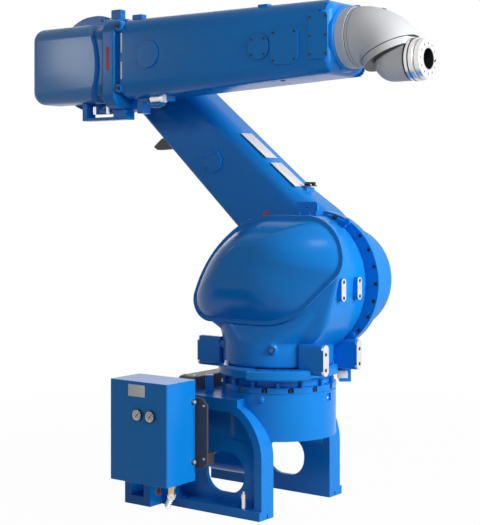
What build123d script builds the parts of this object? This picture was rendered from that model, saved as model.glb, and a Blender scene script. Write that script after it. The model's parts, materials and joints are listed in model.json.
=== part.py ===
from build123d import *
import os
from math import acos, cos, hypot, pi, radians, sin, tan

# Six-axis floor-mounted painting robot with a hollow three-roll wrist.
# Millimetres. Origin on the floor under the swivel axis, +X along the forearm, +Z up.

# Swivel, shoulder and elbow axes and the wrist
shoulder_x = 105
shoulder_z = 795
elbow_x = -940
elbow_z = 1627
wrist_z = 1640
tool_z = 1551
bend_x = 436
bend_lean = 65
moving_gap = 5
pin_gap = 0.3
pin_radius = 120
wrist_pin_radius = 60

# Base casting
wall_front_x = 103
wall_rear_x = -313
wall_inner_y = 176
wall_outer_y = 246
wall_web = 16
wall_rib = 30
wall_height = 399
arch_radius = 199
rail_thick = 30
rail_outer_y = 258
foot_rear_x = -446
foot_length = 119
foot_outer_y = 322
foot_height = 78
foot_hole_diameter = 26
port_x = -93
port_z = 131
port_width = 168
port_height = 140
port_corner = 66
barrel_radius = 205
barrel_wall = 32
barrel_bottom_z = 257
barrel_seam_z = 417
barrel_top_z = 440
barrel_deck = 45
tunnel_corner = 78
seam_depth = 3
seam_width = 4
bolt_ring_radius = 186
bolt_ring_height = 26
anchor_pin_diameter = 16
anchor_pin_height = 40

# Air unit beside the base
cabinet_width = 255
cabinet_depth = 153
cabinet_height = 344
cabinet_x = -229
cabinet_y = -421
cabinet_z = 128
cabinet_corner = 6
gauge_diameter = 40
gauge_bezel = 9
gauge_drop = 112
gauge_spacing = 57
gauge_offset = 29
cabinet_plate_thick = 8
cabinet_plate_over = 48
cabinet_plate_drop = 42
cabinet_plate_chamfer = 22
fitting_diameter = 34
fitting_length = 48
fitting_nut = 16
fitting_inset = 44
connector_length = 132
connector_half_width = 140
connector_height = 56
connector_skirt = 150
connector_overlap = 45

# Swivel head
flange_over = 10
flange_height = 34
neck_radius = 198
neck_height = 85
neck_boss_radius = 15
neck_boss_reach = 12
neck_boss_bore = 6
# Angle and height above the flange of the neck bosses on the near side
neck_bosses = ((214, 62), (299, 67))
head_near_y = -170
head_far_y = 100
head_barrel_radius = 256
head_barrel_x = 50
head_barrel_z = 788
head_flare = 72
head_top_rise = 238
cover_rim = 12
cover_rim_inset = 8
cover_foot_inset = 16
# How far the dome stands off the middle of its rim, back and up
cover_foot_shift = (-8, 10)
cover_depth = 132
cover_centre_share = (-0.55, 0.77)
# Corners of the motor cover's rim: X, Z and radius as shares of the barrel radius, from the barrel axis
cover_corners = (
    (-1.301, -0.527, 0.293),
    (0.434, -0.527, 1.133),
    (1.312, 0.254, 0.332),
    (1.312, 0.957, 0.547),
    (-0.18, 0.957, 1.172),
    (-0.914, 0.402, 1.758),
)
# Sections of the dome: its size as a share of its foot, and its height as a share of its depth
cover_shares = ((1, 0), (0.93, 0.22), (0.84, 0.46), (0.72, 0.7), (0.58, 0.88), (0.44, 0.97), (0.3, 1))
lift_block_y = 107
lift_block_width = 34
lift_block_height = 106
lift_block_rise = 16
lift_block_proud = 74
lift_block_length = 100
lift_pad_thick = 8
lift_block_round = 12
shoulder_ring_radius = 250
shoulder_ring_thick = 28
stop_length = 96
stop_width = 30
stop_thick = 16
stop_tilt = -18
stop_angle = 59
tag_width = 90
tag_height = 70
tag_rear_reach = 32
tag_rise = 32
tag_thick = 12
tag_foot_height = 38
tag_foot_reach = 20
tag_foot_slope = 18
pad_width = 28
pad_height = 78
pad_proud = 18
pad_y = 51
pad_shift = -25
pad_drop = 8
moving_stop_length = 42
moving_stop_width = 54
moving_stop_height = 48
moving_stop_drop = 34
stop_turn = 37
fixed_stop_length = 30
fixed_stop_width = 42
fixed_stop_height = 60
fixed_stop_reach = 32

# Lower arm
arm_hub_radius = 176
hub_cap_radius = 190
arm_hub_depth = 188
arm_hub_round = 40
arm_thick = 132
arm_top_radius = 190
arm_front_round = 56
arm_rear_round = 18
arm_cap_diameter = 92
arm_cap_thick = 8
arm_cap_share = (0.501, 0.132)
arm_pad_length = 38
arm_pad_width = 52
arm_pad_far_gap = 13
arm_pad_share = (0.247, 0.93)
arm_bracket_width = 40
# Corners of the cable bracket: share of the arm's length, and of the hub radius across it
arm_bracket_corners = ((0.729, -0.788), (0.711, -0.776), (0.639, -0.3), (0.694, -0.25), (0.72, -0.504))
# Corners of the lower arm: share of its length, then across it and radius as shares of the hub radius
arm_corners = (
    (0.054, -0.727, 0),
    (0.852, -0.269, 0),
    (0.975, 1.042, 0),
    (0.689, 1.045, 0.34),
    (0.237, 0.988, 1.136),
    (0.122, 1.064, 1.136),
    (0.019, 0.987, 0),
    (0, 0, 0),
)

# Elbow and forearm
elbow_ring_radius = 196
elbow_ring_thick = 34
elbow_spigot_radius = 165
forearm_half_width = 127
housing_far_y = 50
tube_rear_x = -645
tube_front_x = 292
tube_rear_height = 304
tube_front_height = 252
tube_rear_round = 62
tube_front_round = 46
tube_gap = 28
collar_length = 67
collar_height = 352
collar_over = 6
collar_round = 60
cover_box_rear_x = -1135
cover_box_height = 304
cover_box_round = 52
cover_rim_radius = 267
cover_rim_x = -777
cover_rim_drop = 22
groove_inset = 14
nose_radius = 116
nose_end_x = 302
plate_thick = 6
flush_cover_diameter = 104
flush_cover_x = -509
round_cover_diameter = 92
round_cover_x = 4
square_cover_width = 120
square_cover_height = 127
square_cover_round = 34
square_cover_x = 114
front_plate_width = 81
front_plate_height = 160
front_plate_round = 16
front_plate_x = 254
lift_lug_height = 34
lift_lug_width = 27
lift_lug_inset = 52
lift_lug_length = 50
small_lug_height = 17
under_plate_drop = 26
under_plate_reach = 165
under_plate_width = 64
under_plate_thick = 12
under_arm_length = 150

# Wrist
wrist_radius = 105
wrist_ring_end_x = 338
wrist_elbow_drop = 56
wrist_joint_gap = 3
bend_flange = 24
tool_tube_radius = 70
tool_ring_radius = 72
tool_face_radius = 67
tool_tube_end_x = 547
tool_ring_end_x = 580
tool_face_x = 604
bore_radius = 35
tool_bolt_circle = 102
tool_bolt_count = 12
tool_bolt_diameter = 6.6
tool_bolt_depth = 16


def block(x0, x1, y0, y1, z0, z1):
    """Box between two corners."""
    size = Box(x1 - x0, y1 - y0, z1 - z0)
    return Pos((x0 + x1) / 2, (y0 + y1) / 2, (z0 + z1) / 2) * size


def rod_x(x0, x1, y, z, radius):
    """Round bar along X."""
    return Pos((x0 + x1) / 2, y, z) * Rot(0, 90, 0) * Cylinder(radius, x1 - x0)


def rod_y(x, y0, y1, z, radius):
    """Round bar along Y."""
    return Pos(x, (y0 + y1) / 2, z) * Rot(90, 0, 0) * Cylinder(radius, y1 - y0)


def rod_z(x, y, z0, z1, radius):
    """Round bar along Z."""
    return Pos(x, y, (z0 + z1) / 2) * Cylinder(radius, z1 - z0)


def edge_directions(corners):
    """Unit directions of the edges that reach and leave each corner."""
    pairs = []
    for index, (u, v, _) in enumerate(corners):
        corner = Vector(u, v)
        back = (Vector(*corners[index - 1][:2]) - corner).normalized()
        ahead = (Vector(*corners[(index + 1) % len(corners)][:2]) - corner).normalized()
        pairs.append((back, ahead))
    return pairs


def outline(corners):
    """Closed outline of (u, v, radius) corners, each rounded by its own radius."""
    starts, middles, ends = [], [], []
    count = len(corners)
    for (u, v, radius), (back, ahead) in zip(corners, edge_directions(corners)):
        corner = Vector(u, v)
        half_angle = acos(back.dot(ahead)) / 2
        bisector = (back + ahead).normalized()
        starts.append(corner + back * (radius / tan(half_angle)))
        ends.append(corner + ahead * (radius / tan(half_angle)))
        middles.append(corner + bisector * (radius / sin(half_angle) - radius))
    edges = []
    for index in range(count):
        if corners[index][2] > 0:
            edges.append(ThreePointArc(starts[index], middles[index], ends[index]))
        edges.append(Line(ends[index], starts[(index + 1) % count]))
    return make_face(edges)


def inset_corners(corners, inset):
    """Corners moved inwards by a distance, with their radii reduced to match."""
    moved = []
    for (u, v, radius), (back, ahead) in zip(corners, edge_directions(corners)):
        half_angle = acos(back.dot(ahead)) / 2
        place = Vector(u, v) + (back + ahead).normalized() * (inset / sin(half_angle))
        moved.append((place.X, place.Y, radius - inset))
    return moved


def matching_circle(corners, u, v, radius):
    """Circle drawn as arcs that turn where an outline's corners turn, so that the two blend."""
    drawn = []
    for back, ahead in edge_directions(corners):
        half_turn = (pi - acos(back.dot(ahead))) / 2
        outward = -(back + ahead).normalized()
        reach = radius / cos(half_turn)
        drawn.append((u + outward.X * reach, v + outward.Y * reach, radius * 0.98))
    return outline(drawn)


def side_plane(y):
    """Plane across the robot at y, with outlines drawn in X and Z."""
    return Plane(origin=(0, y, 0), x_dir=(1, 0, 0), z_dir=(0, -1, 0))


def end_plane(x):
    """Plane square to the forearm at x, with outlines drawn in Y and Z."""
    return Plane(origin=(x, 0, 0), x_dir=(0, 1, 0), z_dir=(1, 0, 0))


def across(sketch, y0, y1):
    """Carry an X-Z outline across the robot from y0 to y1."""
    return extrude(side_plane(y1) * sketch, amount=y1 - y0)


def along(sketch, x0, x1):
    """Carry a Y-Z outline along the robot from x0 to x1."""
    return extrude(end_plane(x0) * sketch, amount=x1 - x0)


def polar(radius, angle):
    """Point at radius and angle in degrees about the swivel axis."""
    return radius * cos(radians(angle)), radius * sin(radians(angle))


def seat(piece, *carriers):
    """Cut a piece back to the faces of the pieces that carry it."""
    for carrier in carriers:
        piece = piece - carrier
    return piece


# Values that follow from the driving dimensions
flange_z = barrel_top_z + bolt_ring_height + moving_gap
flange_radius = barrel_radius + flange_over
stop_radius = flange_radius + moving_stop_length / 2
lift_block_z = flange_z + lift_block_rise
neck_z = flange_z + flange_height
ring_far_y = head_far_y + shoulder_ring_thick
arm_near_y = ring_far_y + moving_gap
arm_far_y = arm_near_y + arm_thick
lean_sin = sin(radians(bend_lean))
lean_cos = cos(radians(bend_lean))


def base_side():
    """One side wall of the base: arched rim, recessed web, round port, rail and feet."""
    arch = outline([
        (wall_rear_x, 0, 0),
        (wall_front_x, 0, 0),
        (wall_front_x, wall_height, arch_radius),
        (wall_rear_x, wall_height, arch_radius),
    ])
    pocket = outline([
        (wall_rear_x + wall_rib, rail_thick, wall_rib / 2),
        (wall_front_x - wall_rib, rail_thick, wall_rib / 2),
        (wall_front_x - wall_rib, wall_height - wall_rib, arch_radius - wall_rib),
        (wall_rear_x + wall_rib, wall_height - wall_rib, arch_radius - wall_rib),
    ])
    wall = across(arch, wall_inner_y, wall_outer_y)
    wall -= across(pocket, wall_inner_y + wall_web, wall_outer_y)
    wall += block(foot_rear_x, wall_front_x, wall_inner_y, rail_outer_y, 0, rail_thick)
    foot_front_x = foot_rear_x + foot_length
    wall += block(foot_rear_x, foot_front_x, wall_inner_y, foot_outer_y, 0, rail_thick)
    wall += block(foot_rear_x, wall_rear_x + wall_rib, wall_inner_y, rail_outer_y, 0, foot_height)
    wall += block(foot_rear_x, foot_rear_x + wall_rib, wall_inner_y, foot_outer_y, 0, foot_height)
    wall += block(foot_front_x - wall_rib, foot_front_x, wall_inner_y, foot_outer_y, 0, foot_height)
    return wall


def port_cut():
    """Wide rounded port through one side wall."""
    shape = Pos(port_x, port_z) * RectangleRounded(port_width, port_height, port_corner)
    return across(shape, wall_inner_y - wall_rib, wall_outer_y + wall_rib)


def floor_bolt_places():
    """Centres of the floor bolts on one side: beside the swivel axis, in the pocket and in the rear foot."""
    bolt_y = (wall_inner_y + wall_web + rail_outer_y) / 2
    middle_x = wall_rear_x + wall_rib + foot_hole_diameter * 1.6
    rear_x = foot_rear_x + foot_length / 2
    rear_y = (rail_outer_y + foot_outer_y) / 2
    return [(0, bolt_y), (middle_x, bolt_y), (rear_x, rear_y)]


def make_base_casting():
    """Swivel barrel on two arched side walls, open below and between the legs."""
    side = base_side()
    casting = side + mirror(side, about=Plane.XZ)
    casting += block(wall_rear_x, 0, -wall_outer_y, wall_outer_y, wall_height - barrel_deck, wall_height)
    yoke_rear_x = wall_rear_x + arch_radius
    casting += block(yoke_rear_x, wall_front_x - wall_rib, -wall_inner_y, wall_inner_y,
                     port_z + port_height / 4, wall_height)
    tunnel = outline([
        (-wall_inner_y, -1, 0),
        (wall_inner_y, -1, 0),
        (wall_inner_y, barrel_bottom_z, tunnel_corner),
        (-wall_inner_y, barrel_bottom_z, tunnel_corner),
    ])
    casting -= along(tunnel, foot_rear_x - 1, wall_front_x + barrel_radius)
    casting += rod_z(0, 0, barrel_bottom_z, barrel_top_z, barrel_radius)
    casting -= rod_z(0, 0, barrel_bottom_z - 1, barrel_top_z - barrel_deck, barrel_radius - barrel_wall)
    groove = rod_z(0, 0, barrel_seam_z, barrel_seam_z + seam_width, barrel_radius + 1)
    groove -= rod_z(0, 0, barrel_seam_z, barrel_seam_z + seam_width, barrel_radius - seam_depth)
    casting -= groove
    casting -= port_cut()
    casting -= mirror(port_cut(), about=Plane.XZ)
    for x, y in floor_bolt_places():
        for side_sign in (-1, 1):
            casting -= rod_z(x, side_sign * y, -1, foot_height + 1, foot_hole_diameter / 2)
    return casting


def make_bolt_ring():
    """Reducer case that stands on the barrel under the swivel flange."""
    ring = rod_z(0, 0, barrel_top_z, barrel_top_z + bolt_ring_height, bolt_ring_radius)
    return ring + rod_z(0, 0, barrel_top_z + bolt_ring_height, flange_z - pin_gap, pin_radius)


def make_connector_box():
    """Connector box on the rear of the deck."""
    front_x = wall_rear_x + connector_overlap
    rear_x = front_x - connector_length
    box = block(rear_x, front_x, -connector_half_width, connector_half_width,
                wall_height, wall_height + connector_height)
    box += block(rear_x, wall_rear_x, -connector_half_width, connector_half_width,
                 wall_height - connector_skirt, wall_height)
    return box


def make_fixed_stop():
    """Fixed swivel stop on the near rear shoulder of the deck."""
    x, y = polar(flange_radius + fixed_stop_reach, stop_turn + 180)
    stop = Box(fixed_stop_length, fixed_stop_width, fixed_stop_height)
    return Pos(x, y, wall_height + fixed_stop_height / 2) * Rot(0, 0, stop_turn) * stop


def make_anchor_pin():
    """Locating pin that stands in the near side pocket, beside its front floor bolt."""
    pin_y = rail_outer_y - anchor_pin_diameter
    pin_x = foot_hole_diameter
    return rod_z(pin_x, -pin_y, rail_thick, rail_thick + anchor_pin_height, anchor_pin_diameter / 2)


def make_cabinet():
    """Closed sheet cabinet of the air unit."""
    x0 = cabinet_x - cabinet_width / 2
    x1 = cabinet_x + cabinet_width / 2
    y0 = cabinet_y - cabinet_depth / 2
    y1 = cabinet_y + cabinet_depth / 2
    box = block(x0, x1, y0, y1, cabinet_z, cabinet_z + cabinet_height)
    return fillet(box.edges().filter_by(Axis.Z), cabinet_corner)


def make_gauge(x):
    """Round pressure gauge in the cabinet front."""
    face_y = cabinet_y - cabinet_depth / 2
    z = cabinet_z + cabinet_height - gauge_drop
    gauge = rod_y(x, face_y - gauge_bezel, face_y, z, gauge_diameter / 2)
    recess = rod_y(x, face_y - gauge_bezel, face_y - gauge_bezel + 3, z, gauge_diameter / 2 - 3.5)
    return gauge - recess


def make_cabinet_plate():
    """Mounting plate with cut corners between the cabinet and the base."""
    x0 = cabinet_x - cabinet_width / 2
    x1 = cabinet_x + cabinet_width / 2 + cabinet_plate_over
    y0 = cabinet_y + cabinet_depth / 2
    z0 = cabinet_z + cabinet_plate_drop
    z1 = cabinet_z + cabinet_height - cabinet_plate_drop * 1.45
    plate = block(x0, x1, y0, y0 + cabinet_plate_thick, z0, z1)
    plate = chamfer(plate.edges().filter_by(Axis.Y).group_by(Axis.X)[-1], cabinet_plate_chamfer)
    for x in (wall_rear_x + wall_rib / 2, wall_rear_x + arch_radius):
        plate += block(x - 14, x + 14, y0 + cabinet_plate_thick, -wall_outer_y, z0, z0 + 40)
    return plate


def make_air_fitting():
    """Pipe fitting under the cabinet."""
    x = cabinet_x + cabinet_width / 2 - fitting_inset
    nut_z = cabinet_z - fitting_nut
    top = rod_z(x, cabinet_y, nut_z, cabinet_z, fitting_diameter / 2)
    body = rod_z(x, cabinet_y, cabinet_z - fitting_length, nut_z, fitting_diameter * 0.35)
    return top + body


def make_head_flange():
    """Round bottom flange of the swivel head."""
    disc = rod_z(0, 0, flange_z, neck_z, flange_radius)
    return chamfer(disc.edges().group_by(Axis.Z)[-1], 8)


def head_side_corners():
    """Corners of the motor side of the head, placed from the barrel."""
    corners = []
    for across_share, up_share, radius_share in cover_corners:
        corners.append((
            head_barrel_x + across_share * head_barrel_radius,
            head_barrel_z + up_share * head_barrel_radius,
            radius_share * head_barrel_radius,
        ))
    return corners


def make_neck_boss(angle, height):
    """Drilled lifting boss on the neck of the head."""
    reach = neck_radius + neck_boss_reach
    x, y = polar(reach / 2, angle)
    turn = Pos(x, y, neck_z + height) * Rot(0, 0, angle) * Rot(0, 90, 0)
    bore_x, bore_y = polar(reach, angle)
    bore = Pos(bore_x, bore_y, neck_z + height) * Rot(0, 0, angle) * Rot(0, 90, 0)
    return turn * Cylinder(neck_boss_radius, reach) - bore * Cylinder(neck_boss_bore, neck_boss_reach * 3)


def make_head_casting():
    """Head casting: neck with its bosses, rounded body and shoulder barrel."""
    corners = head_side_corners()
    flare_y = head_near_y + head_flare
    round_body = matching_circle(corners, head_barrel_x, head_barrel_z, head_barrel_radius)
    near = side_plane(head_near_y) * outline(inset_corners(corners, cover_rim_inset))
    body = loft([near, side_plane(flare_y) * round_body])
    body += across(round_body, flare_y, head_far_y)
    neck = rod_z(0, 0, neck_z, neck_z + neck_height, neck_radius)
    side_inset = head_barrel_radius / 18
    reach = head_barrel_radius - side_inset
    corner_round = head_barrel_radius * 0.39
    square = [
        (head_barrel_x - reach - side_inset, head_near_y + side_inset / 2, corner_round),
        (head_barrel_x + reach, head_near_y + side_inset / 2, corner_round),
        (head_barrel_x + reach, head_far_y - side_inset / 2, corner_round),
        (head_barrel_x - reach - side_inset, head_far_y - side_inset / 2, corner_round),
    ]
    waist = Plane.XY.offset(neck_z + neck_height) * matching_circle(square, 0, 0, neck_radius)
    shoulder = Plane.XY.offset(head_barrel_z - head_barrel_radius * 0.35) * outline(square)
    casting = neck + loft([waist, shoulder]) + body
    for angle, height in neck_bosses:
        boss = make_neck_boss(angle, height)
        casting += boss + mirror(boss, about=Plane.XZ)
    casting -= block(head_barrel_x - head_barrel_radius, head_barrel_x + head_barrel_radius,
                     head_near_y - 1, head_far_y + 1, head_barrel_z + head_top_rise, 2 * head_barrel_z)
    arm_side_z = shoulder_z - shoulder_ring_radius - moving_gap
    casting -= block(-2 * neck_radius, 2 * neck_radius, head_far_y, 2 * neck_radius, arm_side_z, 2 * shoulder_z)
    return casting - make_side_cover_rim()


def make_side_cover_rim():
    """Flat joint flange between the head and its motor cover."""
    return across(outline(head_side_corners()), head_near_y - cover_rim, head_near_y)


def make_side_cover():
    """Domed motor cover on the near side of the head."""
    start_y = head_near_y - cover_rim
    foot = Pos(*cover_foot_shift) * outline(inset_corners(head_side_corners(), cover_foot_inset))
    centre_x = head_barrel_x + cover_centre_share[0] * head_barrel_radius
    centre_z = head_barrel_z + cover_centre_share[1] * head_barrel_radius
    sections = []
    for size_share, depth_share in cover_shares:
        moved = Pos(centre_x * (1 - size_share), centre_z * (1 - size_share)) * scale(foot, by=size_share)
        sections.append(side_plane(start_y - cover_depth * depth_share) * moved)
    return loft(sections)


def upright_slot(y, z, height, width):
    """Upright Y-Z outline with half-round ends."""
    return Pos(y, z) * Rot(0, 0, 90) * SlotOverall(height, width)


def make_lift_block(front, near):
    """Block with an upright pad face that carries the lifting or forklift fixture."""
    half = lift_block_width / 2
    front_x = neck_radius + lift_block_proud
    pad_x = front_x - lift_pad_thick
    body = block(front_x - lift_block_length, pad_x, -half, half, lift_block_z, lift_block_z + lift_block_height)
    body = fillet(body.edges().filter_by(Axis.X), lift_block_round)
    pad = upright_slot(0, lift_block_z + lift_block_height / 2, lift_block_height, lift_block_width)
    shape = Pos(0, -lift_block_y if near else lift_block_y, 0) * (body + along(pad, pad_x, front_x))
    return shape if front else mirror(shape, about=Plane.YZ)


def make_front_pad(y):
    """Small upright mounting pad on the front of the head."""
    face_x = head_barrel_x + head_barrel_radius + pad_proud
    return along(upright_slot(y, head_barrel_z - pad_drop, pad_height, pad_width), face_x - pad_height, face_x)


def make_shoulder_ring():
    """Bolted ring that closes the head at the shoulder axis."""
    ring = rod_y(shoulder_x, head_far_y, ring_far_y, shoulder_z, shoulder_ring_radius)
    return ring + rod_y(shoulder_x, ring_far_y, arm_near_y - pin_gap, shoulder_z, pin_radius)


def make_shoulder_stop():
    """Obround stop plate near the top of the shoulder ring."""
    x, z = polar(head_barrel_radius, stop_angle)
    place = Pos(head_barrel_x + x, head_barrel_z + z) * Rot(0, 0, stop_tilt)
    return extrude(side_plane(head_far_y) * (place * SlotOverall(stop_length, stop_width)), amount=stop_thick)


def make_tag_plate():
    """Upright drilled plate on top of the head."""
    x0 = head_barrel_x - tag_rear_reach
    z1 = head_barrel_z + head_barrel_radius + tag_rise
    plate = outline([
        (x0, z1 - tag_height, 4),
        (x0 + tag_width, z1 - tag_height, 4),
        (x0 + tag_width, z1, 8),
        (x0, z1, 8),
    ])
    solid = across(plate, head_far_y - tag_thick, head_far_y)
    foot = Polyline(
        (x0, head_far_y),
        (x0, head_far_y - tag_foot_reach),
        (x0 + tag_width, head_far_y - tag_foot_reach),
        (x0 + tag_width + tag_foot_slope, head_far_y),
        close=True,
    )
    solid += extrude(Plane.XY.offset(z1 - tag_height) * make_face(foot), amount=tag_foot_height)
    return solid - rod_y(x0 + tag_width / 2, head_far_y - tag_thick, head_far_y, z1 - tag_rise * 0.7, 4)


def make_moving_stop():
    """Stop block that hangs from the swivel flange."""
    x, y = polar(stop_radius, stop_turn)
    stop = Box(moving_stop_length, moving_stop_width, moving_stop_height)
    return Pos(x, y, flange_z - moving_stop_drop + moving_stop_height / 2) * Rot(0, 0, stop_turn) * stop


def arm_point(length_share, hub_share):
    """Point on the lower arm: share of its length, and of the hub radius across it, as X and Z."""
    run_x = elbow_x - shoulder_x
    run_z = elbow_z - shoulder_z
    reach = arm_hub_radius * hub_share / hypot(run_x, run_z)
    return shoulder_x + run_x * length_share + run_z * reach, shoulder_z + run_z * length_share - run_x * reach


def across_arm(edge):
    """Distance of an edge's middle from the line between the shoulder and elbow axes."""
    run_x = elbow_x - shoulder_x
    run_z = elbow_z - shoulder_z
    middle = edge.center()
    return ((middle.X - shoulder_x) * run_z - (middle.Z - shoulder_z) * run_x) / hypot(run_x, run_z)


def make_lower_arm():
    """Lower arm casting from the shoulder hub to the elbow hub, with its long edges rounded."""
    corners = []
    for length_share, hub_share, round_share in arm_corners:
        corners.append((*arm_point(length_share, hub_share), round_share * arm_hub_radius))
    bar = across(outline(corners), arm_near_y, arm_far_y)
    front_limit = arm_hub_radius * 0.8
    rear_limit = -arm_hub_radius / 3
    near_edges = bar.edges().group_by(Axis.Y)[0]
    bar = fillet(near_edges.filter_by(lambda edge: across_arm(edge) > front_limit), arm_front_round)
    near_edges = bar.edges().group_by(Axis.Y)[0]
    bar = fillet(near_edges.filter_by(lambda edge: across_arm(edge) < rear_limit), arm_rear_round)
    hub = rod_y(shoulder_x, arm_near_y, arm_near_y + arm_hub_depth, shoulder_z, hub_cap_radius)
    hub = fillet(hub.edges().group_by(Axis.Y)[-1], arm_hub_round)
    top = rod_y(elbow_x, arm_near_y, arm_far_y, elbow_z, arm_top_radius)
    top = fillet(top.edges().group_by(Axis.Y)[-1], arm_rear_round)
    return bar + hub + top + make_arm_pad()


def make_arm_cap():
    """Round bolted cap on the side of the lower arm."""
    x, z = arm_point(*arm_cap_share)
    return rod_y(x, arm_near_y - arm_cap_thick, arm_near_y, z, arm_cap_diameter / 2)


def make_arm_pad():
    """Flat-topped pad on the front of the lower arm that carries a clip."""
    x, z = arm_point(*arm_pad_share)
    y1 = arm_far_y - arm_pad_far_gap
    return block(x, x + arm_pad_length, y1 - arm_pad_width, y1, z - arm_pad_width, z)


def make_arm_bracket():
    """Cable bracket on the rear edge of the lower arm."""
    plate = outline([(*arm_point(*corner), 0) for corner in arm_bracket_corners])
    middle_y = (arm_near_y + arm_far_y) / 2
    return across(plate, middle_y - arm_bracket_width / 2, middle_y + arm_bracket_width / 2)


def make_elbow_ring():
    """Elbow reducer ring on the far side of the forearm housing."""
    ring = rod_y(elbow_x, housing_far_y, housing_far_y + elbow_ring_thick, elbow_z, elbow_ring_radius)
    spigot = rod_y(elbow_x, housing_far_y + elbow_ring_thick, arm_near_y - moving_gap, elbow_z,
                   elbow_spigot_radius)
    pin = rod_y(elbow_x, arm_near_y - moving_gap, arm_near_y - pin_gap, elbow_z, pin_radius)
    return ring + spigot + pin


def collar_span():
    """Rear and front X of the collar behind the forearm tube."""
    return tube_rear_x - tube_gap - collar_length, tube_rear_x - tube_gap


def rounded_end(half_width, far_y, z0, z1, radius):
    """Y-Z outline of the forearm housing, rounded at its corners."""
    return outline([
        (-half_width, z0, radius),
        (far_y, z0, radius / 2),
        (far_y, z1, radius / 2),
        (-half_width, z1, radius),
    ])


def make_elbow_collar():
    """Bolted collar where the elbow housing meets the forearm tube."""
    x0, x1 = collar_span()
    middle = elbow_z - 22
    face = rounded_end(forearm_half_width + collar_over, housing_far_y, middle - collar_height / 2,
                       middle + collar_height / 2, collar_round)
    return along(face, x0, x1)


def make_elbow_housing():
    """Elbow housing behind the collar, with the round seat of the elbow ring."""
    x0, x1 = collar_span()
    half = cover_box_height / 2 - groove_inset
    face = rounded_end(forearm_half_width - groove_inset, housing_far_y - 22, elbow_z - 14 - half,
                       elbow_z - 14 + half, cover_box_round)
    neck = along(face, cover_rim_x - cover_box_height / 5, x0)
    ring_seat = rod_y(elbow_x, housing_far_y - 22, housing_far_y, elbow_z, elbow_ring_radius - 6)
    reach = 2 * elbow_ring_radius
    ring_seat -= block(x0, x1 + reach, -reach, reach, elbow_z - reach, elbow_z + reach)
    return neck + ring_seat


def make_rear_cover():
    """Rear motor cover of the forearm, with a curved front edge."""
    half = cover_box_height / 2
    face = rounded_end(forearm_half_width, housing_far_y - 22, elbow_z - 14 - half, elbow_z - 14 + half,
                       cover_box_round)
    box = along(face, cover_box_rear_x, cover_rim_x + groove_inset)
    box = fillet(box.faces().sort_by(Axis.X)[0].edges(), cover_box_round * 0.8)
    rim_centre_x = cover_rim_x - cover_rim_radius
    reach = 2 * cover_box_height
    keep = rod_y(rim_centre_x, -reach, reach, elbow_z - cover_rim_drop, cover_rim_radius)
    keep += block(cover_box_rear_x - 1, rim_centre_x, -reach, reach, elbow_z - reach, elbow_z + reach)
    return box & keep


def tube_outline(height, z, radius):
    """Rounded Y-Z outline of the forearm tube."""
    return Pos(0, z) * RectangleRounded(2 * forearm_half_width, height, radius)


def make_forearm_tube():
    """Tapered forearm tube from the collar to the nose."""
    rear = end_plane(tube_rear_x) * tube_outline(tube_rear_height, elbow_z - 8, tube_rear_round)
    front = end_plane(tube_front_x) * tube_outline(tube_front_height, wrist_z, tube_front_round)
    half = tube_rear_height / 2 - groove_inset
    root = rounded_end(forearm_half_width - groove_inset, housing_far_y, elbow_z - 8 - half, elbow_z - 8 + half,
                       tube_rear_round - groove_inset)
    return loft([rear, front], ruled=True) + along(root, tube_rear_x - tube_gap, tube_rear_x)


def make_forearm_nose():
    """Round nose of the forearm that carries the wrist."""
    nose = rod_x(tube_front_x, nose_end_x, 0, wrist_z, nose_radius)
    nose = fillet(nose.edges().group_by(Axis.X)[-1], plate_thick)
    return nose - rod_x(tube_front_x - 1, nose_end_x + 1, 0, wrist_z, bore_radius + 5)


def make_tube_disc(x, z, diameter):
    """Round cover on the near side of the forearm tube."""
    return rod_y(x, -forearm_half_width - plate_thick, -forearm_half_width, z, diameter / 2)


def make_tube_plate(x, z, width, height, radius):
    """Rounded cover plate on the near side of the forearm tube."""
    plate = Pos(x, z) * RectangleRounded(width, height, radius)
    return across(plate, -forearm_half_width - plate_thick, -forearm_half_width)


def make_lift_lug(x0, x1, z, height):
    """Lifting block on top of the forearm, level with its near edge."""
    y0 = -forearm_half_width + lift_lug_inset
    lug = block(x0, x1, y0, y0 + lift_lug_width, z - lift_lug_height, z + height)
    return fillet(lug.edges().filter_by(Axis.Y).group_by(Axis.Z)[-1], lift_lug_height / 8)


def make_under_plate():
    """Long plate on two posts under the elbow housing."""
    collar_rear_x, collar_front_x = collar_span()
    cover_bottom_z = elbow_z - 14 - cover_box_height / 2
    z1 = elbow_z - 22 - collar_height / 2 - under_plate_drop
    x0 = collar_rear_x - under_plate_reach
    y0, y1 = -under_plate_width, -groove_inset
    plate = block(x0, collar_front_x, y0, y1, z1 - under_plate_thick, z1)
    rear_post = block(x0, x0 + under_plate_drop, y0, y1, z1, cover_bottom_z)
    front_post = block(collar_rear_x, collar_front_x, y0, y1, z1, z1 + under_plate_drop)
    return plate + rear_post + front_post


def make_under_bracket():
    """Angled bracket under the rear end of the forearm tube."""
    x0 = tube_rear_x + tube_gap
    z = elbow_z - 8 - tube_rear_height / 2
    leg = block(x0, x0 + tube_gap, -under_plate_width, -groove_inset, z - 2 * tube_gap, z + tube_gap)
    arm = block(x0, x0 + under_arm_length, -under_plate_width, -groove_inset, z - tube_gap / 2, z + tube_gap)
    return leg + arm


def bend_rod(start, end, radius):
    """Round bar along the leaning bend axis, between two distances from the wrist centre."""
    middle = (start + end) / 2
    x = bend_x + middle * lean_cos
    z = wrist_z - middle * lean_sin
    return Pos(x, 0, z) * Rot(0, 90 + bend_lean, 0) * Cylinder(radius, end - start)


def tool_centre_x():
    """X where the leaning bend axis meets the tool axis."""
    return bend_x + (wrist_z - tool_z) / lean_sin * lean_cos


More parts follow.
